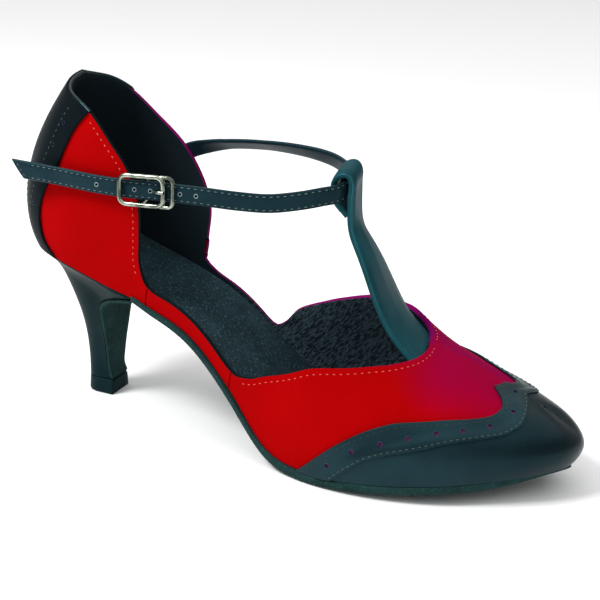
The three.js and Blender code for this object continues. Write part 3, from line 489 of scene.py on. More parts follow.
def smooth(piece, degrees):
    select_only(piece)
    bpy.ops.object.shade_smooth_by_angle(angle=math.radians(degrees))


def finish_piece(piece, finish=None, replaces=None):
    """Gives a piece its finish, its body and the solid that it stands for."""
    if finish:
        piece.data.materials.clear()
        piece.data.materials.append(finish_of(finish))
    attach(piece, "root")
    if replaces:
        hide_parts(replaces)


def smooth_copy(node_name, name, degrees, levels):
    """A finer copy of a solid: its faces joined, its sharp edges kept, its curves rounded."""
    piece = add_object(name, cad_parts[node_name].data.copy())
    piece.data.name = name
    merge(piece, 0.01 * MM)
    edit_mesh(
        piece, bpy.ops.mesh.tris_convert_to_quads,
        face_threshold=math.radians(30), shape_threshold=math.radians(60),
    )
    mesh = bmesh.new()
    mesh.from_mesh(piece.data)
    crease = mesh.edges.layers.float.new("crease_edge")
    for edge in mesh.edges:
        if edge.is_manifold and edge.calc_face_angle(0) > math.radians(degrees):
            edge[crease] = SHARP_EDGE
    mesh.to_mesh(piece.data)
    mesh.free()
    apply_modifier(piece, "SUBSURF", levels=levels, render_levels=levels)
    smooth(piece, degrees)
    return piece


def copies(name, template, places):
    """One mesh of many copies of a small piece, each at its own place."""
    result = bmesh.new()
    for place in places:
        start = len(result.verts)
        result.from_mesh(template.data)
        result.verts.ensure_lookup_table()
        for vertex in result.verts[start:]:
            vertex.co = place @ vertex.co
    mesh = bpy.data.meshes.new(name)
    result.to_mesh(mesh)
    result.free()
    bpy.data.objects.remove(template)
    for face in mesh.polygons:
        face.use_smooth = True
    return add_object(name, mesh)


def wire_loop(name, corners, corner_radius, radius, closed=True):
    """A bent wire through corner points, its bends rounded."""
    data = bpy.data.curves.new(name, "CURVE")
    data.dimensions = "3D"
    data.bevel_depth = radius
    data.bevel_resolution = 4
    data.use_fill_caps = True
    count = len(corners)
    path = []
    for i, corner in enumerate(corners):
        here = Vector(corner)
        if not closed and i in (0, count - 1):
            path.append(here)
            continue
        before, after = Vector(corners[i - 1]) - here, Vector(corners[(i + 1) % count]) - here
        reach = min(corner_radius, before.length / 2, after.length / 2)
        start, end = here + before.normalized() * reach, here + after.normalized() * reach
        for step in range(BEND_STEPS + 1):
            share = step / BEND_STEPS
            path.append(start.lerp(here, share).lerp(here.lerp(end, share), share))
    spline = data.splines.new("POLY")
    spline.points.add(len(path) - 1)
    for point, place in zip(spline.points, path):
        point.co = (*place, 1)
    spline.use_cyclic_u = closed
    select_only(add_object(name, data))
    bpy.ops.object.convert(target="MESH")
    return bpy.context.object


def join_pieces(name, pieces):
    select_only(pieces[0])
    for piece in pieces:
        piece.select_set(True)
    bpy.ops.object.join()
    piece = bpy.context.object
    piece.name = piece.data.name = name
    return piece


def tree_of(points):
    """A tree that finds the nearest of many points."""
    tree = KDTree(len(points))
    for i, point in enumerate(points):
        tree.insert(point, i)
    tree.balance()
    return tree


def mark_points(piece, attribute, share_at):
    """Stores a share from 0 to 1 on each point of a piece."""
    layer = piece.data.attributes.new(attribute, "FLOAT", "POINT")
    for i, vertex in enumerate(piece.data.vertices):
        layer.data[i].value = share_at(vertex)


def move_points(piece, shift_at):
    """Moves each point of a piece by a shift worked out from its place."""
    for vertex in piece.data.vertices:
        vertex.co += shift_at(vertex.co)


def place_matrix(point, x_axis, y_axis, z_axis):
    """A place with its own axes."""
    return Matrix.Translation(point) @ Matrix((x_axis, y_axis, z_axis)).transposed().to_4x4()


def frame_of(point, tangent, out):
    """A place whose X runs along the tangent and Z out of the surface."""
    side = out.cross(tangent).normalized()
    return place_matrix(point, tangent.normalized(), side, tangent.cross(side).normalized())


def stitch_places(points, normals, pitch):
    """Places of stitches at even steps along a run on a surface."""
    length = sum((b - a).length for a, b in zip(points, points[1:]))
    line = even_run(points, max(int(length / pitch), 1))
    tree = tree_of(points)
    places = []
    for here, after in zip(line, line[1:]):
        centre = (here + after) / 2
        out = normals[tree.find(centre)[1]]
        places.append(frame_of(centre, (after - here).normalized(), out))
    return places


def surface_run(steps, inset, height):
    """Points and normals beside a run on the last: steps are places and shares of the way up."""
    points, normals = [], []
    for i, (place, up) in enumerate(steps):
        before, after = steps[max(i - 1, 0)], steps[min(i + 1, len(steps) - 1)]
        heading = (after[0] - before[0], after[1] - before[1])
        if abs(heading[0]) + abs(heading[1]) < 1e-9:
            continue
        there = beside(place, up, heading, inset) if inset else (place, up)
        if not 0 <= there[1] <= 1:
            continue
        points.append(on_last(*there, height))
        normals.append(last_normal(*there))
    return points, normals


def hole_places(holes):
    """Places of holes on the last, which are given for each side as rib and share of the way up."""
    places = []
    for side in SIDES:
        for rib, up in holes[side]:
            place = ring_place(rib, side)
            along, _ = last_slopes(place, up)
            places.append(frame_of(last_at(place, up), along.normalized(), last_normal(place, up)))
    return places


def punch_holes(piece, places, radius):
    cutter = add_primitive(
        bpy.ops.mesh.primitive_cylinder_add, vertices=16, radius=radius, depth=6 * MM,
    )
    cutters = copies("hole_cutters", cutter, places)
    apply_modifier(piece, "BOOLEAN", object=cutters, operation="DIFFERENCE", solver="EXACT")
    bpy.data.objects.remove(cutters)


def add_hole_details(name, places, radius, under, top, rim="rim", wire=0.14):
    """The leather seen at the bottom of each hole, and the pressed rim round its edge, coloured lighter
    as a painted glint.
    """
    disc = add_primitive(
        bpy.ops.mesh.primitive_circle_add, vertices=14, radius=radius * 1.15, fill_type="TRIFAN",
    )
    lowered = [place @ Matrix.Translation((0, 0, under)) for place in places]
    finish_piece(copies(name + "_linings", disc, lowered), "hole")
    ring = add_primitive(
        bpy.ops.mesh.primitive_torus_add, major_segments=16, minor_segments=6,
        major_radius=radius * 1.12, minor_radius=radius * wire,
    )
    raised = [place @ Matrix.Translation((0, 0, top)) for place in places]
    finish_piece(copies(name + "_rims", ring, raised), rim)


# Materials

GLOSS_TINT = (0.3, 0.85, 1.0)
# Painted shade: the dark the toe leather turns to towards its tip
TIP_SHADE = (0.0025, 0.0045, 0.0055)


def shade(colour, factor):
    return tuple(channel * factor for channel in colour)


class Recipe:
    """A material in the making: its nodes, its shader, and the place of each point in the shoe."""

    def __init__(self, name, **sockets):
        self.material = bpy.data.materials.new(name)
        self.material.use_nodes = True
        self.tree = self.material.node_tree
        self.shader = self.tree.nodes["Principled BSDF"]
        self.surface(**sockets)
        self.place = self.node("ShaderNodeTexCoord").outputs["Object"]

    def set_input(self, socket, value):
        """Links a socket to another node's output, or gives it a value."""
        if isinstance(value, bpy.types.NodeSocket):
            self.tree.links.new(value, socket)
        elif socket.type == "RGBA":
            socket.default_value = (*value, 1)
        else:
            socket.default_value = value

    def surface(self, **sockets):
        """Sets inputs of the shader: an underscore stands for a space in their names."""
        for key, value in sockets.items():
            self.set_input(self.shader.inputs[key.replace("_", " ")], value)

    def node(self, kind, inputs=None, **values):
        made = self.tree.nodes.new(kind)
        for key, value in values.items():
            setattr(made, key, value)
        for key, value in (inputs or {}).items():
            self.set_input(made.inputs[key], value)
        return made

    def noise(self, scale, detail=3.0, roughness=0.55, at=None):
        place = self.place if at is None else at
        inputs = {"Vector": place, "Scale": scale, "Detail": detail, "Roughness": roughness}
        return self.node("ShaderNodeTexNoise", inputs).outputs["Fac"]

    def ramp(self, value, *stops):
        """A colour for each value: every stop is a value and its colour."""
        made = self.node("ShaderNodeValToRGB", {"Fac": value})
        elements = made.color_ramp.elements
        while len(elements) < len(stops):
            elements.new(0.5)
        for element, (position, colour) in zip(elements, stops):
            element.position = position
            element.color = (*colour, 1)
        return made.outputs["Color"]

    def mottle(self, value, colour, dark, light):
        """One colour made darker and lighter: each end is a value and the factor there."""
        return self.ramp(value, *((at, shade(colour, factor)) for at, factor in (dark, light)))

    def mix(self, share, first, second):
        inputs = {0: share, 6: first, 7: second}
        return self.node("ShaderNodeMix", inputs, data_type="RGBA").outputs[2]

    def combine(self, operation, first, second):
        return self.node("ShaderNodeMath", {0: first, 1: second}, operation=operation).outputs[0]

    def fit(self, value, from_range=(0, 1), to_range=(0, 1)):
        """A value carried from one range to another."""
        inputs = {
            "Value": value, "From Min": from_range[0], "From Max": from_range[1],
            "To Min": to_range[0], "To Max": to_range[1],
        }
        return self.node("ShaderNodeMapRange", inputs).outputs["Result"]

    def axis(self, name):
        return self.node("ShaderNodeSeparateXYZ", {"Vector": self.place}).outputs[name]

    def attribute(self, name):
        return self.node("ShaderNodeAttribute", attribute_name=name).outputs["Fac"]

    def bump(self, height, strength, distance):
        inputs = {"Height": height, "Strength": strength, "Distance": distance}
        self.surface(Normal=self.node("ShaderNodeBump", inputs).outputs["Normal"])


def make_suede(name, colour, sheen_shade, edge_sheen):
    """Napped leather: soft patches where the nap lies differently, darkened to purple as painted shade
    and sheen where the surface turns up, away or down, and a purple painted sheen along the inner
    topline.
    """
    recipe = Recipe(
        name, Roughness=0.95, Sheen_Weight=0.12, Sheen_Roughness=0.35, Sheen_Tint=sheen_shade,
        Specular_IOR_Level=0.03,
    )
    nap = recipe.noise(2600.0, 4.0, 0.7)
    base = recipe.mottle(recipe.noise(38.0), colour, (0.3, 0.86), (0.7, 1.08))
    speckle = recipe.mottle(nap, colour, (0.35, 0.8), (0.65, 1.12))
    # Painted shade and sheen: the red is mixed towards a dark purple where the surface turns up, away or
    # down
    body = recipe.mix(recipe.attribute("turned"), recipe.mix(0.4, base, speckle), sheen_shade)
    # Painted sheen: a purple line along the inner topline
    recipe.surface(Base_Color=recipe.mix(recipe.attribute("rim"), body, edge_sheen))
    recipe.bump(nap, 0.3, 0.1 * MM)
    return recipe.material


def make_leather(name, colour, roughness, grain, gloss):
    """Smooth finished leather: pores, fine wrinkles, an uneven gloss, and painted shade darkening it
    towards the tip of the toe.
    """
    recipe = Recipe(name, Roughness=roughness, Specular_IOR_Level=gloss, Specular_Tint=GLOSS_TINT)
    pores = recipe.node(
        "ShaderNodeTexVoronoi", {"Vector": recipe.place, "Scale": grain}, feature="SMOOTH_F1",
    ).outputs["Distance"]
    wrinkles = recipe.combine("MULTIPLY", recipe.noise(grain * 2.2, 3.0, 0.6), 0.7)
    soft = recipe.noise(70.0)
    tint = recipe.mottle(soft, colour, (0.3, 0.8), (0.72, 1.25))
    recipe.surface(
        # Painted shade towards the tip of the toe
        Base_Color=recipe.mix(recipe.attribute("burnish"), tint, TIP_SHADE),
        Roughness=recipe.fit(soft, to_range=(roughness - 0.07, roughness + 0.09)),
    )
    recipe.bump(recipe.combine("ADD", pores, wrinkles), 0.4, 0.1 * MM)
    return recipe.material


def make_lining(name, colour):
    """Soft lining leather: smooth at the quarters, finely creased and paler towards the vamp, with
    painted highlights along the creases and painted shade in their hollows.
    """
    recipe = Recipe(name, Roughness=0.6, Specular_IOR_Level=0.12, Specular_Tint=GLOSS_TINT)
    inputs = {"Vector": recipe.place, "Rotation": (0, math.radians(42), 0), "Scale": (1, 1.1, 4.2)}
    stretched = recipe.node("ShaderNodeMapping", inputs, vector_type="TEXTURE").outputs["Vector"]
    creases = recipe.noise(1500.0, 2.5, at=stretched)
    grain = recipe.noise(1500.0, roughness=0.6)
    vamp = LAST_ORIGIN.x + 0.33 * LENGTH
    forward = recipe.fit(recipe.axis("X"), (vamp, vamp + 25 * MM))
    # Painted shade in the crease hollows and painted highlights on the crease ridges
    crease_shade, skin, light = (shade(colour, factor) for factor in (2.2, 5.5, 19))
    crease_light_and_shade = recipe.ramp(creases, (0.38, crease_shade), (0.5, skin), (0.56, light), (0.62, skin))
    plain = recipe.mottle(grain, colour, (0.3, 1.3), (0.7, 1.9))
    recipe.surface(Base_Color=recipe.mix(forward, plain, crease_light_and_shade))
    ridges = recipe.combine("MULTIPLY", creases, forward)
    height = recipe.combine("ADD", ridges, recipe.combine("MULTIPLY", grain, 0.25))
    recipe.bump(height, 0.7, 0.35 * MM)
    return recipe.material


def make_folded_edge(name, colour, dark):
    """Folded topline: dark on the outer side and round the counter, with a magenta painted sheen on the
    inner side.
    """
    recipe = Recipe(name, Roughness=0.8, Specular_IOR_Level=0.05)
    inward = recipe.fit(recipe.axis("Y"), (LAST_ORIGIN.y, LAST_ORIGIN.y + 6 * MM))
    forward = recipe.fit(recipe.axis("X"), (EDGE_START, EDGE_START + 3 * MM))
    nap = recipe.noise(2200.0)
    # Painted sheen: the magenta of the folded edge on the inner side
    fold = recipe.mottle(nap, colour, (0.3, 0.8), (0.7, 1.15))
    share = recipe.combine("MULTIPLY", inward, forward)
    recipe.surface(Base_Color=recipe.mix(share, dark, fold))
    recipe.bump(nap, 0.3, 0.1 * MM)
    return recipe.material


def make_speckled_suede(name, colour, fleck_factor, scale):
    """Dark napped leather with light flecks."""
    recipe = Recipe(name, Roughness=0.95, Sheen_Weight=0.03, Specular_IOR_Level=0.04)
    nap = recipe.noise(scale, 5.0, 0.75)
    flecks = recipe.ramp(nap, (0.55, (0, 0, 0)), (0.67, (1, 1, 1)))
    tint = recipe.mottle(recipe.noise(110.0, 2.0), colour, (0.3, 0.75), (0.75, 1.3))
    recipe.surface(Base_Color=recipe.mix(flecks, tint, shade(colour, fleck_factor)))
    recipe.bump(nap, 0.6, 0.2 * MM)
    return recipe.material


def make_metal(name, colour):
    """Polished metal with fine scuffs, and painted reflections, darker and lighter bands, in its colour.
    """
    recipe = Recipe(name, Metallic=1.0, Roughness=0.16)
    # Painted reflections: bands darker and lighter than the metal's colour
    painted_reflections = recipe.noise(190.0, 1.0)
    dark, light = shade(colour, 0.45), shade(colour, 1.5)
    recipe.surface(
        Base_Color=recipe.ramp(painted_reflections, (0.38, dark), (0.52, colour), (0.66, light)),
        Roughness=recipe.fit(recipe.noise(900.0, 4.0), to_range=(0.1, 0.26)),
    )
    return recipe.material


def make_thread(name, colour):
    """Twisted thread."""
    recipe = Recipe(name, Roughness=0.7, Sheen_Weight=0.2)
    twist = recipe.noise(5000.0, 2.0)
    recipe.surface(Base_Color=recipe.mottle(twist, colour, (0.35, 0.6), (0.65, 1)))
    recipe.bump(twist, 0.4, 0.05 * MM)
    return recipe.material


# Smooth leathers by finish: each takes a share of one of the colour settings
LeatherLook = namedtuple("LeatherLook", "material setting share roughness grain gloss")
LEATHERS = {
    "leather": LeatherLook("black_leather", "leather", 1, 0.29, 1500, 0.24),
    "strap": LeatherLook("strap_leather", "strap", 1, 0.3, 1700, 0.12),
    "heel": LeatherLook("heel_leather", "heel", 1, 0.42, 1300, 0.04),
    "tip": LeatherLook("heel_tip", "heel", 1, 0.5, 900, 0.08),
    "binding": LeatherLook("binding_leather", "counter", 1, 0.25, 2200, 0.3),
    "counter": LeatherLook("counter_leather", "counter", 1, 0.42, 1500, 0.02),
    # Painted light: the T-strap's black leather made much lighter, as where light falls on it
    "rise": LeatherLook("rise_leather", "rise", 1, 0.3, 1700, 0.07),
    # Painted highlights: the T-strap's raised lines, lighter than its leather
    "line": LeatherLook("edge_line", "rise", 2.2, 0.3, 2200, 0.3),
    "seam": LeatherLook("suede_seam", "suede", 0.5, 0.9, 2200, 0),
    # Painted glints on the rims of the wing's and the back strip's holes
    "rim": LeatherLook("hole_rim", "hole_rim", 1, 0.3, 2200, 0.2),
    # Painted glints on the rims of the strap's holes
    "bright_rim": LeatherLook("bright_hole_rim", "bright_rim", 1, 0.25, 2200, 0.4),
}


@cache
def finish_of(key):
    """The material of a finish, made once."""
    look = bpy.context.scene.shoe_finish
    if key in LEATHERS:
        row = LEATHERS[key]
        colour = shade(getattr(look, row.setting), row.share)
        return make_leather(row.material, colour, row.roughness, row.grain, row.gloss)
    if key.endswith("_thread"):
        return make_thread(key, getattr(look, key))
    maker, *values = {
        "suede": (make_suede, "red_suede", look.suede, look.suede_sheen_shade, look.suede_edge),
        "edge": (make_folded_edge, "folded_edge", look.suede_edge, look.counter),
        "lining": (make_lining, "lining_leather", look.lining),
        "sock": (make_speckled_suede, "sock_suede", look.sock, 5, 1000),
        "sole": (make_speckled_suede, "sole_suede", look.sole, 3.5, 1900),
        "hole": (make_thread, "hole_lining", look.hole),
        "metal": (make_metal, "nickel", look.metal),
    }[key]
    return maker(*values)


# Settings

def length_setting(name, description, millimetres):
    return FloatProperty(
        name=name, description=description, default=millimetres * MM, min=0.0,
        subtype="DISTANCE", unit="LENGTH",
    )


def colour_setting(name, description, colour):
    return FloatVectorProperty(
        name=name, description=description, default=colour, min=0.0, max=1.0, subtype="COLOR",
    )


class ShoeSizes(bpy.types.PropertyGroup):
    edge_rounding: length_setting("Edge rounding", "Rounding of folded leather edges", 0.35)
    toe_leather: length_setting("Toe leather", "Thickness of the toe piece", 0.6)
    band_leather: length_setting("Band leather", "Thickness of the wing band", 0.75)
    hole_radius: length_setting("Hole radius", "Radius of the wing's pinholes", 0.85)
    stitch_length: length_setting("Stitch length", "Length of one stitch", 1.25)
    stitch_pitch: length_setting("Stitch pitch", "Distance from stitch to stitch", 2.4)
    thread_radius: length_setting("Thread radius", "Half the thickness of the thread", 0.19)
    piping_radius: length_setting("Piping radius", "Half the thickness of the topline's binding", 0.75)


class ShoeFinish(bpy.types.PropertyGroup):
    suede: colour_setting("Suede", "Red of the suede", (0.352, 0.0, 0.0005))
    # Painted shade and sheen: the dark purple laid on the suede where it turns away, also used as its
    # sheen tint
    suede_sheen_shade: colour_setting("Suede glow", "Colour of the nap where it turns away", (0.132, 0.0, 0.07))
    # Painted sheen: the purple along the inner topline and the folded edge on the inner side
    suede_edge: colour_setting("Suede edge", "Colour along the far folded edge", (0.17, 0.0, 0.09))
    leather: colour_setting("Leather", "Black of the toe and wing leather", (0.0075, 0.0195, 0.0245))
    counter: colour_setting("Counter", "Black of the back strip", (0.0038, 0.007, 0.009))
    strap: colour_setting("Strap", "Black of the ankle strap", (0.0075, 0.0205, 0.028))
    # Painted light: a much lighter copy of the black leather, as where light falls on the T-strap
    rise: colour_setting("T-strap", "Black of the T-strap", (0.0085, 0.05, 0.062))
    heel: colour_setting("Heel", "Black of the heel cover", (0.0045, 0.0145, 0.0165))
    lining: colour_setting("Lining", "Black of the lining", (0.0045, 0.007, 0.009))
    sock: colour_setting("Insole", "Black suede of the insole", (0.0115, 0.0275, 0.034))
    sole: colour_setting("Sole", "Suede of the sole", (0.011, 0.034, 0.033))
    metal: colour_setting("Buckle", "Metal of the buckle", (0.25, 0.29, 0.235))
    hole: colour_setting("Holes", "Colour seen through the pinholes", (0.12, 0.004, 0.11))
    # Painted glint on the rims of the pinholes
    hole_rim: colour_setting("Hole rims", "Rims of the pinholes", (0.035, 0.04, 0.08))
    # Painted glint on the rims of the strap's holes
    bright_rim: colour_setting("Strap hole rims", "Rims of the strap's holes", (0.22, 0.3, 0.3))
    red_thread: colour_setting("Red thread", "Thread on the red suede", (0.85, 0.1, 0.07))
    dark_thread: colour_setting("Dark thread", "Thread along the edge of the wing", (0.003, 0.007, 0.009))
    wing_thread: colour_setting("Wing thread", "Thread of the wing's line", (0.04, 0.065, 0.05))
    grey_thread: colour_setting("Grey thread", "Thread on the straps", (0.09, 0.15, 0.135))


# Pieces

class ShoeOperator:
    bl_options = {"REGISTER", "UNDO"}

    @property
    def sizes(self):
        return bpy.context.scene.shoe_sizes


class SHOE_OT_stage(ShoeOperator, bpy.types.Operator):
    """Pale floor, soft studio lights and the camera"""

    bl_idname = "shoe.stage"
    bl_label = "Stage"

    FLOOR_SIZE = 60
    FLOOR_TONES = (0.94, 0.96)
    WORLD_LIGHT = 0.33
    # Area lamps: name, place from the shoe, size in metres, power in watts
    LAMPS = (
        ("ceiling", (0, 0, 4), 10, 290),
        ("window", (-0.5, -0.45, 0.8), 0.3, 9),
    )
    # The camera: what it looks at, its angles in degrees, its distance, its shift and its lens
    LOOK_AT = LAST_ORIGIN + Vector((112, 0, 50)) * MM
    AZIMUTH = 21.6
    ELEVATION = 19.9
    ROLL = 2.8
    DISTANCE = 402 * MM
    SHIFT_RIGHT = 2.2 * MM
    SHIFT_UP = 2.7 * MM
    FOCAL_SHARE = 1080 / 600
    SENSOR_WIDTH = 36

    def execute(self, context):
        scene = context.scene
        scene.view_settings.view_transform = "Standard"
        self.add_floor()
        self.add_lights(scene)
        self.add_camera(scene)
        return {"FINISHED"}

    def add_floor(self):
        floor = add_primitive(bpy.ops.mesh.primitive_plane_add, size=self.FLOOR_SIZE)
        floor.name = "floor"
        recipe = Recipe("floor_white", Roughness=0.9, Specular_IOR_Level=0.1)
        low, high = ((tone, tone, tone) for tone in self.FLOOR_TONES)
        recipe.surface(Base_Color=recipe.ramp(recipe.noise(0.6), (0.2, low), (0.8, high)))
        floor.data.materials.append(recipe.material)

    def add_lights(self, scene):
        scene.world = bpy.data.worlds.new("studio")
        scene.world.use_nodes = True
        background = scene.world.node_tree.nodes["Background"]
        background.inputs["Color"].default_value = (1, 1, 1, 1)
        background.inputs["Strength"].default_value = self.WORLD_LIGHT
        for name, place, size, power in self.LAMPS:
            light = bpy.data.lights.new(name, "AREA")
            light.size = size
            light.energy = power
            lamp = add_object(name, light)
            lamp.location = self.LOOK_AT + Vector(place)
            lamp.rotation_euler = (-Vector(place)).to_track_quat("-Z", "Y").to_euler()

    def add_camera(self, scene):
        azimuth, elevation, roll = map(math.radians, (self.AZIMUTH, self.ELEVATION, self.ROLL))
        back = Vector((
            math.sin(azimuth) * math.cos(elevation),
            -math.cos(azimuth) * math.cos(elevation),
            math.sin(elevation),
        ))
        right = Vector((math.cos(azimuth), math.sin(azimuth), 0))
        up = back.cross(right)
        turned_right = right * math.cos(roll) + up * math.sin(roll)
        turned_up = up * math.cos(roll) - right * math.sin(roll)
        place = self.LOOK_AT + back * self.DISTANCE
        place += right * self.SHIFT_RIGHT + up * self.SHIFT_UP
        data = bpy.data.cameras.new("camera")
        data.sensor_width = self.SENSOR_WIDTH
        data.lens = self.SENSOR_WIDTH * self.FOCAL_SHARE
        data.clip_start = 10 * MM
        data.clip_end = 100
        scene.camera = add_object("camera", data)
        scene.camera.matrix_world = place_matrix(place, turned_right, turned_up, back)


def topline_steps(side, count=240):
    """Even steps along a topline: places round the last and shares of the way up."""
    return [(ring_place(rib, side), up) for rib, up in edge_run(TOPLINES[side], count)]


class SHOE_OT_upper(ShoeOperator, bpy.types.Operator):
    """Suede vamp, waist and quarters with their lining"""

    bl_idname = "shoe.upper"
    bl_label = "Upper"

    ROWS = 44
    EDGE_COLUMNS = 120
    RIDGE_COLUMNS = 46
    # The least step of a column's foot, in ribs times the number of columns
    LEAST_STEP = 3.12
    EDGE_SHEEN_REACH = 0.4 * MM
    # Seams beside the waist strip: rib at the top and at the foot
    SEAMS = ((3.98, 3.93), (6.08, 6.0))
    SEAM_TOP = 0.11
    SEAM_STEPS = 12

    def execute(self, context):
        lateral, medial = (self.columns(side) for side in SIDES)
        grid = []
        for side, foot, rib, up in lateral + medial[-2::-1]:
            column = []
            for j in range(self.ROWS + 1):
                share = j / self.ROWS
                column.append(last_at(ring_place(mix(foot, rib, share), side), up * share))
            grid.append(column)
        upper = drape("upper_suede", grid, 0.02 * MM)
        for key in ("suede", "lining", "edge"):
            upper.data.materials.append(finish_of(key))
        give_wall(upper, WALL, self.sizes.edge_rounding, inner=1, rim=2)
        self.mark_edge_sheen(upper)
        self.mark_painted_sheen_shade(upper)
        smooth(upper, 50)
        finish_piece(upper, replaces="upper")
        self.add_seams()
        return {"FINISHED"}

    def columns(self, side):
        """Columns under the topline and under the ridge: side, foot rib, top rib, share up."""
        run = edge_run(TOPLINES[side], self.EDGE_COLUMNS)
        least = self.LEAST_STEP / self.EDGE_COLUMNS
        steps = [max(after[0] - before[0], least) for before, after in zip(run, run[1:])]
        foot, total = 0.0, sum(steps)
        columns = []
        for step, (rib, up) in zip([0.0, *steps], run):
            foot += step / total * THROAT_RIB
            columns.append((side, foot, rib, up))
        for i in range(1, self.RIDGE_COLUMNS + 1):
            rib = mix(THROAT_RIB, TOE_RIB, i / self.RIDGE_COLUMNS)
            columns.append((side, rib, rib, 1.0))
        return columns

    def mark_edge_sheen(self, upper):
        """How near a point lies to the inner topline, where a purple painted sheen is laid."""
        tree = tree_of([last_at(*step) for step in topline_steps(MEDIAL)])

        def nearness(vertex):
            return math.exp(-((tree.find(vertex.co)[2] / self.EDGE_SHEEN_REACH) ** 2))

        mark_points(upper, "rim", nearness)

    def mark_painted_sheen_shade(self, upper):
        """Painted shade and sheen: how far the surface turns up over the ridge, away to the inner side or
        down to the sole, where the suede's red is darkened to purple.
        """
        forepart = 0.35 * LENGTH + LAST_ORIGIN.x

        def turned(vertex):
            tilt, inward = vertex.normal.z, vertex.normal.y
            ahead = smoothstep(vertex.co.x, forepart - 30 * MM, forepart + 20 * MM)
            over = smoothstep(tilt, 0.6, 1.0) * 0.42
            away = smoothstep(inward, -0.1, 0.15) * (1 - smoothstep(inward, 0.2, 0.55)) * 0.6
            under = smoothstep(-tilt, 0.1, 0.6) * 0.5
            return clamp((max(over, away) + under) * ahead, 0, 1)

        mark_points(upper, "turned", turned)

    def add_seams(self):
        """Seams that join the vamp, the waist strip and the quarter on each side."""
        seams = []
        for side in SIDES:
            for top_rib, foot_rib in self.SEAMS:
                path = []
                for j in range(self.SEAM_STEPS + 1):
                    share = j / self.SEAM_STEPS
                    place = ring_place(mix(top_rib, foot_rib, share), side)
                    path.append(on_last(place, mix(self.SEAM_TOP, 0.0, share), 0.02 * MM))
                seams.append(wire_loop("seam", path, 0.1 * MM, 0.2 * MM, closed=False))
        finish_piece(join_pieces("panel_seams", seams), "seam")


def wing_steps(table, side, count=200):
    """The run of a wing edge on one side, from the sole up to the ridge."""
    return [
        (ring_place(outer if side == LATERAL else inner, side), up)
        for up, outer, inner in wing_run(table, count)
    ]


class SHOE_OT_toe_cap(ShoeOperator, bpy.types.Operator):
    """Toe piece, and the winged band with its pinholes over it"""

    bl_idname = "shoe.toe_cap"
    bl_label = "Winged toe cap"

    # How far the toe piece reaches back under the band, in ribs
    TUCK = 0.3
    TOE_HALF = 60
    TOE_ROWS = 70
    BAND_ROWS = 12
    # Shares of the way up stop just short of the ridge, where both sides meet
    HIGHEST = 0.9995

    def execute(self, context):
        self.add_toe_piece()
        self.add_band()
        return {"FINISHED"}

    def add_toe_piece(self):
        leather = self.sizes.toe_leather
        grid = []
        for i in range(2 * self.TOE_HALF + 1):
            share = i / self.TOE_HALF - 1
            column = []
            for up, outer, inner in wing_run(BAND_LINE, self.TOE_ROWS):
                end = outer - self.TUCK if share < 0 else RING - (inner - self.TUCK)
                place = mix(TOE_RIB, end, abs(share))
                column.append(on_last(place, min(up, self.HIGHEST), CLEARANCE + leather))
            grid.append(column)
        toe = drape("toe_piece", grid, 0.12 * MM)
        give_wall(toe, leather)
        smooth(toe, 50)
        self.burnish(toe)
        finish_piece(toe, "leather")

    def burnish(self, piece):
        """Painted shade: darkens the leather towards the tip of the toe."""
        front = max(vertex.co.x for vertex in piece.data.vertices)
        start, full = front - 46 * MM, front - 10 * MM
        mark_points(piece, "burnish", lambda vertex: smoothstep(vertex.co.x, start, full) * 0.92)

    def add_band(self):
        thick = self.sizes.band_leather
        stations = []
        for side in SIDES:
            run = list(zip(wing_steps(WING_EDGE, side), wing_steps(BAND_LINE, side)))
            stations += run if side == LATERAL else run[-2::-1]
        grid = []
        for edge, line in stations:
            column = []
            for j in range(self.BAND_ROWS + 1):
                share = j / self.BAND_ROWS
                lift = self.sizes.toe_leather * smoothstep(share, 0.45, 0.8)
                place, up = mix(edge[0], line[0], share), mix(edge[1], line[1], share)
                column.append(on_last(place, min(up, self.HIGHEST), CLEARANCE + lift + thick))
            grid.append(column[::-1])
        band = drape("wing_band", grid, 0.05 * MM)
        give_wall(band, thick, self.sizes.edge_rounding * 0.7)
        places, radius = hole_places(WING_HOLES), self.sizes.hole_radius
        punch_holes(band, places, radius)
        add_hole_details("wing_hole", places, radius, HOLE_FLOOR, CLEARANCE + thick + 0.02 * MM)
        smooth(band, 40)
        finish_piece(band, "leather", "toe_cap")


def strip_narrowing(side, share):
    """How much narrower the back strip is at a share of the way up its inner side."""
    return 1 if side == LATERAL else mix(1, 0.74, smoothstep(share, 0.5, 1))


def strip_run(side, out, count):
    """Up the back strip, at a share of the way out to its edge: ribs and shares of the way up."""
    run = edge_run(STRIP_EDGE, count)
    reach, highest = run[-1]
    top = topline_up(side, out * reach * strip_narrowing(side, 1))
    steps = []
    for j, (rib, up) in enumerate(run):
        height = up * mix(1, top / highest, smoothstep(j / count, 0.2, 1))
        steps.append((out * rib * strip_narrowing(side, j / count), height))
    return steps


class SHOE_OT_back_strip(ShoeOperator, bpy.types.Operator):
    """Leather counter strip up the back of the heel"""

    bl_idname = "shoe.back_strip"
    bl_label = "Back strip"

    ROWS = 60
    HALF = 30
    HOLE_RADIUS = 0.55 * MM

    def execute(self, context):
        thick = self.sizes.band_leather
        grid = []
        for i in range(2 * self.HALF + 1):
            share = i / self.HALF - 1
            side = LATERAL if share > 0 else MEDIAL
            steps = strip_run(side, abs(share), self.ROWS)
            grid.append([on_last(-side * rib, up, CLEARANCE + thick) for rib, up in steps])
        strip = drape("back_strip_leather", grid)
        give_wall(strip, thick, self.sizes.edge_rounding * 0.7)
        places = hole_places({side: STRIP_HOLES for side in SIDES})
        punch_holes(strip, places, self.HOLE_RADIUS)
        smooth(strip, 45)
        finish_piece(strip, "counter", "back_strip")
        top = CLEARANCE + thick + 0.01 * MM
        add_hole_details("strip_hole", places, self.HOLE_RADIUS, HOLE_FLOOR, top)
        return {"FINISHED"}


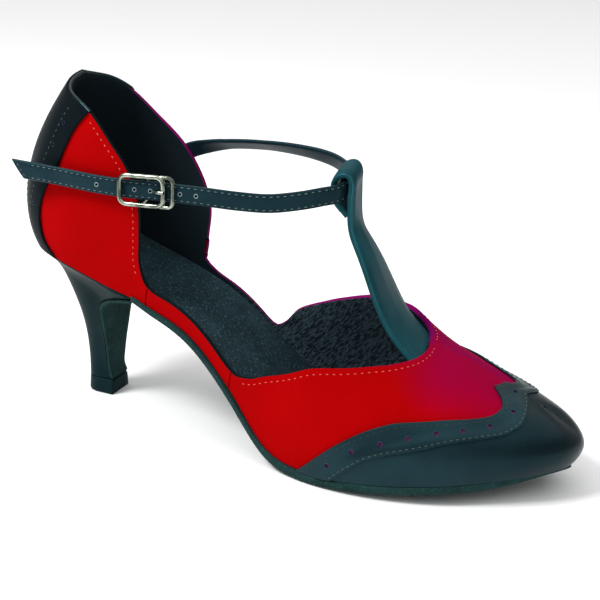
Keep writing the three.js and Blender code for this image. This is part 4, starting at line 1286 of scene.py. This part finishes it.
class SHOE_OT_bottom(ShoeOperator, bpy.types.Operator):
    """Insole, outsole, heel, its top piece and the flap over its breast"""

    bl_idname = "shoe.bottom"
    bl_label = "Insole, sole and heel"

    LEVELS = 2
    # Solids: node, finish, slot, sharpest rounded angle in degrees
    SOLIDS = (
        ("insole", "sock", "black_suede", 40),
        ("outsole", "sole", "sole_suede", 40),
        ("heel", "heel", "heel_cover", 42),
        ("heel_top_piece", "tip", "hard_black", 50),
        ("breast_flap", "sole", "sole_suede", 45),
    )
    TOE_REACH = 45 * MM
    TOE_DRAW = 1.9 * MM
    TOE_LIFT = 1.5 * MM

    def execute(self, context):
        shaping = {"outsole": self.shape_sole, "breast_flap": self.feather_flap}
        for node_name, finish, slot_name, degrees in self.SOLIDS:
            piece = smooth_copy(node_name, node_name + "_cover", degrees, self.LEVELS)
            if node_name in shaping:
                shaping[node_name](piece)
            finish_piece(piece, finish, node_name)
        return {"FINISHED"}

    def shape_sole(self, sole):
        self.feather_toe(sole)
        self.reach_heel(sole)

    def feather_toe(self, sole):
        """Draws the sole's bottom edge in round the toe, where it is skived and turned under."""
        front = max(vertex.co.x for vertex in sole.data.vertices)
        centre = Vector((front - self.TOE_REACH, LAST_ORIGIN.y + 3 * MM, 0))

        def draw_in(point):
            ahead = smoothstep(point.x, front - self.TOE_REACH, front - 4 * MM)
            below = clamp((sole_top(point.x) - point.z) / SOLE_THICKNESS, 0, 1)
            drawn = self.TOE_DRAW * ahead * mix(0.5, 1, below)
            shift = (centre - point) * (drawn / self.TOE_REACH)
            shift.z = self.TOE_LIFT * smoothstep(point.x, front - 26 * MM, front - 2 * MM) * below
            return shift

        move_points(sole, draw_in)

    def reach_heel(self, sole):
        """Carries the waist of the sole back and up to the breast of the heel."""
        back = min(vertex.co.x for vertex in sole.data.vertices)
        full_shift = Vector((-3, 0, 2.1)) * MM
        move_points(sole, lambda point: full_shift * (1 - smoothstep(point.x, back, back + 7 * MM)))

    def feather_flap(self, flap):
        """Thins the flap's lower end, which is glued flat on the heel."""
        low = min(vertex.co.z for vertex in flap.data.vertices)
        full_shift = Vector((-1.1, 0, 0)) * MM
        move_points(flap, lambda point: full_shift * (1 - smoothstep(point.z, low, low + 9 * MM)))


def sole_top(x):
    """Height of the feather line at a distance along the shoe."""
    along = (x - LAST_ORIGIN.x) / LENGTH
    for rib, after in zip(RIBS, RIBS[1:]):
        if after["at"] >= along:
            share = clamp((along - rib["at"]) / (after["at"] - rib["at"]), 0, 1)
            return mix(feather_height(rib), feather_height(after), share)
    return feather_height(RIBS[-1])


STRAP_STATIONS = [
    (
        LAST_ORIGIN + Vector((
            along * LENGTH, across * BALL_WIDTH,
            SOLE_THICKNESS + lift * HEEL_HEIGHT + rise * INSTEP_HEIGHT,
        )),
        math.radians(lean),
    )
    for along, across, lift, rise, lean in ANKLE_STRAP
]
STRAP_RUN = SmoothRun([point for point, _ in STRAP_STATIONS])


def strap_station(share):
    """Place, direction, width direction and outward face of the ankle strap."""
    point, tangent = STRAP_RUN.at(share), STRAP_RUN.tangent(share)
    row = share * (len(STRAP_STATIONS) - 1)
    number = min(int(row), len(STRAP_STATIONS) - 2)
    lean = mix(STRAP_STATIONS[number][1], STRAP_STATIONS[number + 1][1], row - number)
    upright = (UP - tangent * UP.dot(tangent)).normalized()
    outwards = tangent.cross(upright)
    side = upright * math.cos(lean) - outwards * math.sin(lean)
    return point, tangent, side, tangent.cross(side)


def strap_profile(width, thickness, seams, groove):
    """Across and depth of a strap's outline: soft edges, a groove for each row of stitches.

    Each row is given by its distance in from the edge.
    """
    half, thick = width / 2, thickness / 2

    def edge(across):
        return math.sqrt(max(0.0, 1 - (abs(across) / half) ** 8))

    def dent(across):
        inset = half - abs(across)
        return sum(math.exp(-(((seam - inset) / GROOVE_REACH) ** 2)) for seam in seams)

    steps = [half * math.cos(math.pi * i / PROFILE_STEPS) for i in range(PROFILE_STEPS + 1)]
    outer = [(across, thick * edge(across) - groove * dent(across)) for across in steps]
    inner = [(across, -thick * edge(across)) for across in steps[1:-1]]
    return outer + inner[::-1]


def strap_mesh(name, rings):
    """A closed strap through its outlines."""
    piece = drape(name, [ring + ring[:1] for ring in rings], 0.002 * MM)
    fill_ends(piece)
    return piece


def strap_ring(point, side, face, profile):
    return [point + side * across + face * depth for across, depth in profile]


BUCKLE_PLACE = place_matrix(*strap_station(BUCKLE_SHARE))
STRAP_FACE = STRAP_THICKNESS / 2
FRAME_BACK = STRAP_FACE + CLEARANCE
FRAME_FACE = FRAME_BACK + BUCKLE_WIRE
TAB_DEPTH = -(STRAP_FACE + TAB_STANDOFF + TAB_THICKNESS / 2)
BAR_WRAP = BAR_DIAMETER / 2 + CLEARANCE / 2 + TAB_THICKNESS / 2
BAR_DEPTH = TAB_DEPTH - BAR_WRAP
PRONG_BAR_END = BUCKLE_LENGTH / 2 - BUCKLE_WIRE - BUCKLE_SLOT


class SHOE_OT_ankle_strap(ShoeOperator, bpy.types.Operator):
    """Ankle strap with its punched holes and slanted tail"""

    bl_idname = "shoe.ankle_strap"
    bl_label = "Ankle strap"

    STEPS = 300
    SEAMS = (1.0 * MM,)
    GROOVE = 0.16 * MM
    HOLE_SHARES = (0.101, 0.165, 0.19, 0.228, 0.247)
    HOLE_RADIUS = 0.62 * MM

    def execute(self, context):
        profile = strap_profile(STRAP_WIDTH, STRAP_THICKNESS, self.SEAMS, self.GROOVE)
        rings = []
        for i in range(self.STEPS + 1):
            point, _, side, face = strap_station(i / self.STEPS)
            rings.append(strap_ring(point, side, face, profile))
        strap = strap_mesh("ankle_strap_leather", rings)
        self.cut_tail(strap)
        places = []
        for share in self.HOLE_SHARES:
            point, tangent, _, face = strap_station(share)
            places.append(frame_of(point, tangent, face))
        punch_holes(strap, places, self.HOLE_RADIUS)
        # Painted glints on the rims of the strap's holes
        add_hole_details(
            "strap_hole", places, self.HOLE_RADIUS, -0.3 * MM, STRAP_FACE + 0.03 * MM,
            rim="bright_rim", wire=0.24,
        )
        smooth(strap, 45)
        finish_piece(strap, "strap", "ankle_strap")
        return {"FINISHED"}

    def cut_tail(self, strap):
        point, tangent, side, _ = strap_station(0)
        edit_mesh(
            strap, bpy.ops.mesh.bisect, plane_co=point + side * (STRAP_WIDTH / 2),
            plane_no=(tangent * STRAP_WIDTH + side * TAIL_CUT).normalized(),
            use_fill=True, clear_inner=True,
        )


def even_bend(rings, first, last, passes=10):
    """Rounds off a bend between two rings of a strap, its outline kept."""
    for _ in range(passes):
        rings[first:last] = [
            [(a + b + c) / 3 for a, b, c in zip(rings[i - 1], rings[i], rings[i + 1])]
            for i in range(first, last)
        ]
    return rings


class SHOE_OT_t_strap(ShoeOperator, bpy.types.Operator):
    """Leather strap up the instep, looped round the ankle strap"""

    bl_idname = "shoe.t_strap"
    bl_label = "T-strap"

    THICKNESS = 2.5 * MM
    TOP_WIDTH = 12 * MM
    BASE_WIDTH = 28 * MM
    TUCK = 8 * MM
    TAPER = 2.9
    FOLLOW = 0.35
    EASE = 0.4 * MM
    LIFT = 0.7 * MM
    SLACK = 0.8 * MM
    BACK = 1.6 * MM
    TOP_RIB = 7.85
    LOOP_SHARE = 0.552
    SEAMS = (1.1 * MM, 2.2 * MM)
    GROOVE = 0.34 * MM
    RISE_STEPS = 70
    LOOP_STEPS = 64
    # Rings before and after the fold where it is rounded off
    BEND_BEFORE = 16
    BEND_AFTER = 9
    # Points of the strap's outline that carry a raised line, near edge first: the lines are coloured
    # lighter as painted highlights
    LINES = (31, 29, 3)
    HIGHLIGHT_LINE_RINGS = slice(4, -2)

    def execute(self, context):
        rise = self.rise_rings(self.RISE_STEPS)
        loop = self.loop_rings(rise[-1], self.LOOP_STEPS)
        fold = len(rise)
        rings = even_bend(rise + loop[1:], fold - self.BEND_BEFORE, fold + self.BEND_AFTER)
        strap = strap_mesh("t_strap_leather", rings)
        smooth(strap, 60)
        # Painted light in the T-strap's lighter black
        finish_piece(strap, "rise", "t_strap")
        lines = []
        for number in self.LINES:
            path = [ring[number] for ring in rings[self.HIGHLIGHT_LINE_RINGS]]
            lines.append(wire_loop("line", path, 0.1 * MM, 0.13 * MM, closed=False))
        # Painted highlights along the T-strap's raised lines
        finish_piece(join_pieces("t_strap_lines", lines), "line")
        return {"FINISHED"}

    def rise_rings(self, count):
        """Outlines of the strap from inside the throat up the instep."""
        start = THROAT_RIB + self.TUCK / (LENGTH * (RIBS[11]["crown_at"] - RIBS[10]["crown_at"]))
        under = WALL + CLEARANCE + self.THICKNESS / 2 + self.EASE
        over = self.THICKNESS / 2 - self.LIFT
        rings = []
        for i in range(count + 1):
            share = i / count
            rib = mix(start, self.TOP_RIB, share)
            width = mix(self.BASE_WIDTH, self.TOP_WIDTH, share ** self.TAPER)
            depth = mix(over, under, smoothstep(rib, 8.2, 9.4))
            follow = mix(self.FOLLOW, 1, smoothstep(rib, 8.8, 9.8))
            ridge, ridge_out = beside_ridge(rib, 0)
            ring = []
            for across, height in strap_profile(width, self.THICKNESS, self.SEAMS, self.GROOVE):
                point, out = beside_ridge(rib, across)
                out = ridge_out.lerp(out, follow).normalized()
                flat = Vector((ridge.x, ridge.y + across, ridge.z))
                ring.append(flat.lerp(point, follow) + out * (height - depth))
            rings.append(ring)
        return rings

    def loop_path(self, top):
        """The middle of the loop, from the top of the strap round the ankle strap."""
        point, _, _, face = strap_station(self.LOOP_SHARE)
        forward = Vector((face.x, 0, face.z)).normalized()
        upward = Vector((-forward.z, 0, forward.x))
        if upward.z < 0:
            upward.negate()
        ahead = STRAP_FACE + CLEARANCE + self.THICKNESS / 2
        behind = ahead + self.BACK
        above = STRAP_WIDTH / 2 + CLEARANCE + self.SLACK + self.THICKNESS / 2
        turns = (
            (ahead, -0.5), (ahead, 0), (ahead, 0.5), (ahead * 0.6, 0.88), (0, 1),
            (-behind * 0.6, 0.86), (-behind, 0.45), (-behind, 0), (-behind * 0.95, -0.6), (0, -1),
        )
        around = [point + forward * out + upward * (rise * above) for out, rise in turns]
        return SmoothRun([top, *around[:-1], top.lerp(around[-1], 0.35)])

    def loop_rings(self, last_ring, count):
        """Outlines of the strap round its loop."""
        half = len(last_ring) // 2
        path = self.loop_path((last_ring[half // 2] + last_ring[half + half // 2]) / 2)
        profile = strap_profile(self.TOP_WIDTH, self.THICKNESS, self.SEAMS, self.GROOVE)
        strap_along = strap_station(self.LOOP_SHARE)[1]
        rings = []
        for i in range(count + 1):
            share = i / count
            turned = clamp(5 * share, 0, 1) * clamp(5 * (1 - share), 0, 1)
            side = Vector((0, 1, 0)).lerp(strap_along, turned).normalized()
            tangent = path.tangent(share)
            face = side.cross(Vector((tangent.x, 0, tangent.z)).normalized()).normalized()
            rings.append(strap_ring(path.at(share), side, face, profile))
        return rings


class SHOE_OT_buckle(ShoeOperator, bpy.types.Operator):
    """Buckle frame with its end loop, bar, prong and leather tab"""

    bl_idname = "shoe.buckle"
    bl_label = "Buckle"

    # Middle of the rim's inner end, along the strap
    INNER_END = PRONG_BAR_END - BUCKLE_WIRE / 2

    def execute(self, context):
        self.add_frame()
        self.add_prong()
        self.add_tab()
        return {"FINISHED"}

    def add_metal(self, piece, node_name):
        piece.data.transform(BUCKLE_PLACE)
        smooth(piece, 60)
        finish_piece(piece, "metal", node_name)

    def add_frame(self):
        """Rim, end loop and bar, in the buckle's own axes: along, across and out of the strap."""
        radius = BUCKLE_WIRE / 2
        end = BUCKLE_LENGTH / 2 - radius
        half = BUCKLE_HEIGHT / 2 - radius
        depth = FRAME_BACK + radius
        rim = [
            (-end, -half, depth), (self.INNER_END, -half, depth),
            (self.INNER_END, half, depth), (-end, half, depth),
        ]
        low, high, root = depth - 0.25 * MM, half + 0.15 * MM, self.INNER_END - 1.2 * MM
        loop = [(root, -high, low), (end, -high, low), (end, high, low), (root, high, low)]
        aside = STRAP_WIDTH / 2 + CLEARANCE + BAR_DIAMETER / 2
        half_bar = [
            (half, depth), (aside + 0.3 * MM, STRAP_FACE), (aside, -STRAP_FACE),
            (aside - 0.6 * MM, BAR_DEPTH),
        ]
        bar = [(BAR_ALONG, across, out) for across, out in half_bar]
        bar += [(BAR_ALONG, -across, out) for across, out in half_bar[::-1]]
        parts = [
            wire_loop("rim", rim, 3.1 * MM, radius),
            wire_loop("loop", loop, 2.4 * MM, radius * 0.8, closed=False),
            wire_loop("bar", bar, 0.8 * MM, BAR_DIAMETER / 2, closed=False),
        ]
        self.add_metal(join_pieces("buckle_frame_metal", parts), "buckle_frame")

    def add_prong(self):
        """The prong, its eye round the bar and its tip over the rim."""
        eye = (BAR_DIAMETER + PRONG_DIAMETER) / 2 + CLEARANCE
        rest = FRAME_FACE + PRONG_DIAMETER * 0.35
        path = [
            (BAR_ALONG - eye, 0, BAR_DEPTH),
            (BAR_ALONG, 0, BAR_DEPTH - eye),
            (BAR_ALONG + eye, 0, BAR_DEPTH),
            (BAR_ALONG + 2.2 * eye, 0, -STRAP_FACE),
            (BAR_ALONG + 3.4 * eye, 0, STRAP_FACE + CLEARANCE),
            (self.INNER_END - 1.6 * MM, 0, rest),
            (self.INNER_END + 0.7 * MM, 0, rest),
        ]
        prong = wire_loop("buckle_prong_metal", path, 0.9 * MM, PRONG_DIAMETER / 2, closed=False)
        self.add_metal(prong, "buckle_prong")

    def add_tab(self):
        tab = smooth_copy("buckle_tab", "buckle_tab_leather", 50, 1)
        finish_piece(tab, "strap", "buckle_tab")


class SHOE_OT_trim(ShoeOperator, bpy.types.Operator):
    """Rows of stitches, and the binding round the counter's topline"""

    bl_idname = "shoe.trim"
    bl_label = "Stitching and binding"

    TOPLINE_INSET = 2.1 * MM
    EDGE_INSET = 1.5 * MM
    LINE_INSET = 0.9 * MM
    STRAP_INSET = 1.0 * MM
    # Ribs between which the quarter and the vamp are sewn along the topline
    QUARTER_RIBS = (2.05, 3.85)
    VAMP_START = 6.3
    VAMP_TOP = 0.97
    # Fineness of the runs that are sewn on the ankle strap and on the back strip
    STRAP_STEPS = 400
    STRAP_START = 8
    STRIP_STEPS = 120
    # Rows on the back strip, as shares of the way out to its edge
    STRIP_ROWS = (0.78, 0.45)
    # Last rib of the binding on each side
    BINDING_ENDS = {LATERAL: 2.0, MEDIAL: 1.42}

    def execute(self, context):
        self.add_red_stitches()
        self.add_wing_stitches()
        self.add_strap_stitches()
        self.add_strip_stitches()
        self.add_binding()
        return {"FINISHED"}

    def sew(self, name, places, slot_name, finish, length=None):
        """A row of stitches, each a thin oval of thread."""
        stitch = add_primitive(
            bpy.ops.mesh.primitive_uv_sphere_add, segments=6, ring_count=5, radius=1,
        )
        thread = self.sizes.thread_radius
        half = (length or self.sizes.stitch_length) / 2
        stitch.data.transform(Matrix.Diagonal((half, thread, thread, 1)))
        finish_piece(copies(name, stitch, places), finish)

    def places_along(self, steps, inset, height, tightness=1):
        """Places of the stitches beside a run on the last."""
        points, normals = surface_run(steps, inset, height)
        return stitch_places(points, normals, self.sizes.stitch_pitch * tightness)

    def add_red_stitches(self):
        start, end = self.QUARTER_RIBS
        places = []
        for side in SIDES:
            steps = [(min(place, RING - place), place, up) for place, up in topline_steps(side)]
            quarter = [(place, up) for rib, place, up in steps if start < rib < end]
            vamp = [
                (place, up) for rib, place, up in steps
                if rib > self.VAMP_START and up < self.VAMP_TOP
            ]
            for run in (quarter, vamp):
                places += self.places_along(run, side * self.TOPLINE_INSET, 0.05 * MM)
        self.sew("topline_stitches", places, "red_suede", "red_thread", 1.0 * MM)

    def add_wing_stitches(self):
        height = CLEARANCE + self.sizes.band_leather + 0.03 * MM
        top = height + self.sizes.toe_leather
        near, far = [], []
        for side in SIDES:
            edge, line = wing_steps(WING_EDGE, side), wing_steps(BAND_LINE, side)
            near += self.places_along(edge, side * self.EDGE_INSET, height)
            far += self.places_along(line, -side * self.LINE_INSET, top, 0.9)
        self.sew("wing_edge_stitches", near, "black_leather", "dark_thread")
        self.sew("wing_line_stitches", far, "black_leather", "wing_thread")

    def add_strap_stitches(self):
        pitch, lift = self.sizes.stitch_pitch, STRAP_FACE - 0.1 * MM
        places = []
        for edge in (1, -1):
            aside = edge * (STRAP_WIDTH / 2 - self.STRAP_INSET)
            points, normals = [], []
            for i in range(self.STRAP_START, self.STRAP_STEPS + 1):
                point, _, side, face = strap_station(i / self.STRAP_STEPS)
                points.append(point + side * aside + face * lift)
                normals.append(face)
            places += stitch_places(points, normals, pitch)
        point, tangent, side, face = strap_station(0)
        corner = point + face * lift + tangent * (1.9 * MM)
        tail = [
            corner + side * (STRAP_WIDTH * (0.5 - share) - 0.4 * MM) + tangent * (TAIL_CUT * share)
            for share in (0.08, 0.3, 0.5, 0.7, 0.8)
        ]
        places += stitch_places(tail, [face] * len(tail), pitch * 0.8)
        self.sew("ankle_strap_stitches", places, "black_leather", "grey_thread")

    def add_strip_stitches(self):
        height = CLEARANCE + self.sizes.band_leather + 0.02 * MM
        places = []
        for side in SIDES:
            for out in self.STRIP_ROWS:
                run = strip_run(side, out, self.STRIP_STEPS)
                highest = run[-1][1] - 0.03
                steps = [(ring_place(rib, side), up) for rib, up in run if 0.06 < up < highest]
                places += self.places_along(steps, 0, height)
        self.sew("back_strip_stitches", places, "black_leather", "wing_thread", 1.2 * MM)

    def add_binding(self):
        lateral, medial = (
            [step for step in topline_steps(side) if min(step[0], RING - step[0]) < end]
            for side, end in self.BINDING_ENDS.items()
        )
        path = [on_last(place, up, -WALL * 0.2) for place, up in medial[::-1] + lateral[1:]]
        radius = self.sizes.piping_radius
        binding = wire_loop("topline_binding", path, 0.1 * MM, radius, closed=False)
        smooth(binding, 60)
        finish_piece(binding, "binding")


OPERATORS = (
    SHOE_OT_stage, SHOE_OT_upper, SHOE_OT_toe_cap, SHOE_OT_back_strip, SHOE_OT_bottom,
    SHOE_OT_ankle_strap, SHOE_OT_t_strap, SHOE_OT_buckle, SHOE_OT_trim,
)


class SHOE_PT_panel(bpy.types.Panel):
    bl_label = "Dance shoe"
    bl_idname = "SHOE_PT_panel"
    bl_space_type = "VIEW_3D"
    bl_region_type = "UI"
    bl_category = "Shoe"

    def draw(self, context):
        for group in (context.scene.shoe_sizes, context.scene.shoe_finish):
            for name in group.__annotations__:
                self.layout.prop(group, name)
        for operator in OPERATORS:
            self.layout.operator(operator.bl_idname)


CLASSES = (ShoeSizes, ShoeFinish, *OPERATORS, SHOE_PT_panel)


def register():
    for made in CLASSES:
        bpy.utils.register_class(made)
    bpy.types.Scene.shoe_sizes = PointerProperty(type=ShoeSizes)
    bpy.types.Scene.shoe_finish = PointerProperty(type=ShoeFinish)


def unregister():
    del bpy.types.Scene.shoe_finish
    del bpy.types.Scene.shoe_sizes
    for made in reversed(CLASSES):
        bpy.utils.unregister_class(made)


def main():
    register()
    bpy.ops.shoe.stage()
    bpy.ops.shoe.upper()
    bpy.ops.shoe.toe_cap()
    bpy.ops.shoe.back_strip()
    bpy.ops.shoe.bottom()
    bpy.ops.shoe.ankle_strap()
    bpy.ops.shoe.t_strap()
    bpy.ops.shoe.buckle()
    bpy.ops.shoe.trim()


if __name__ == "__main__":
    main()
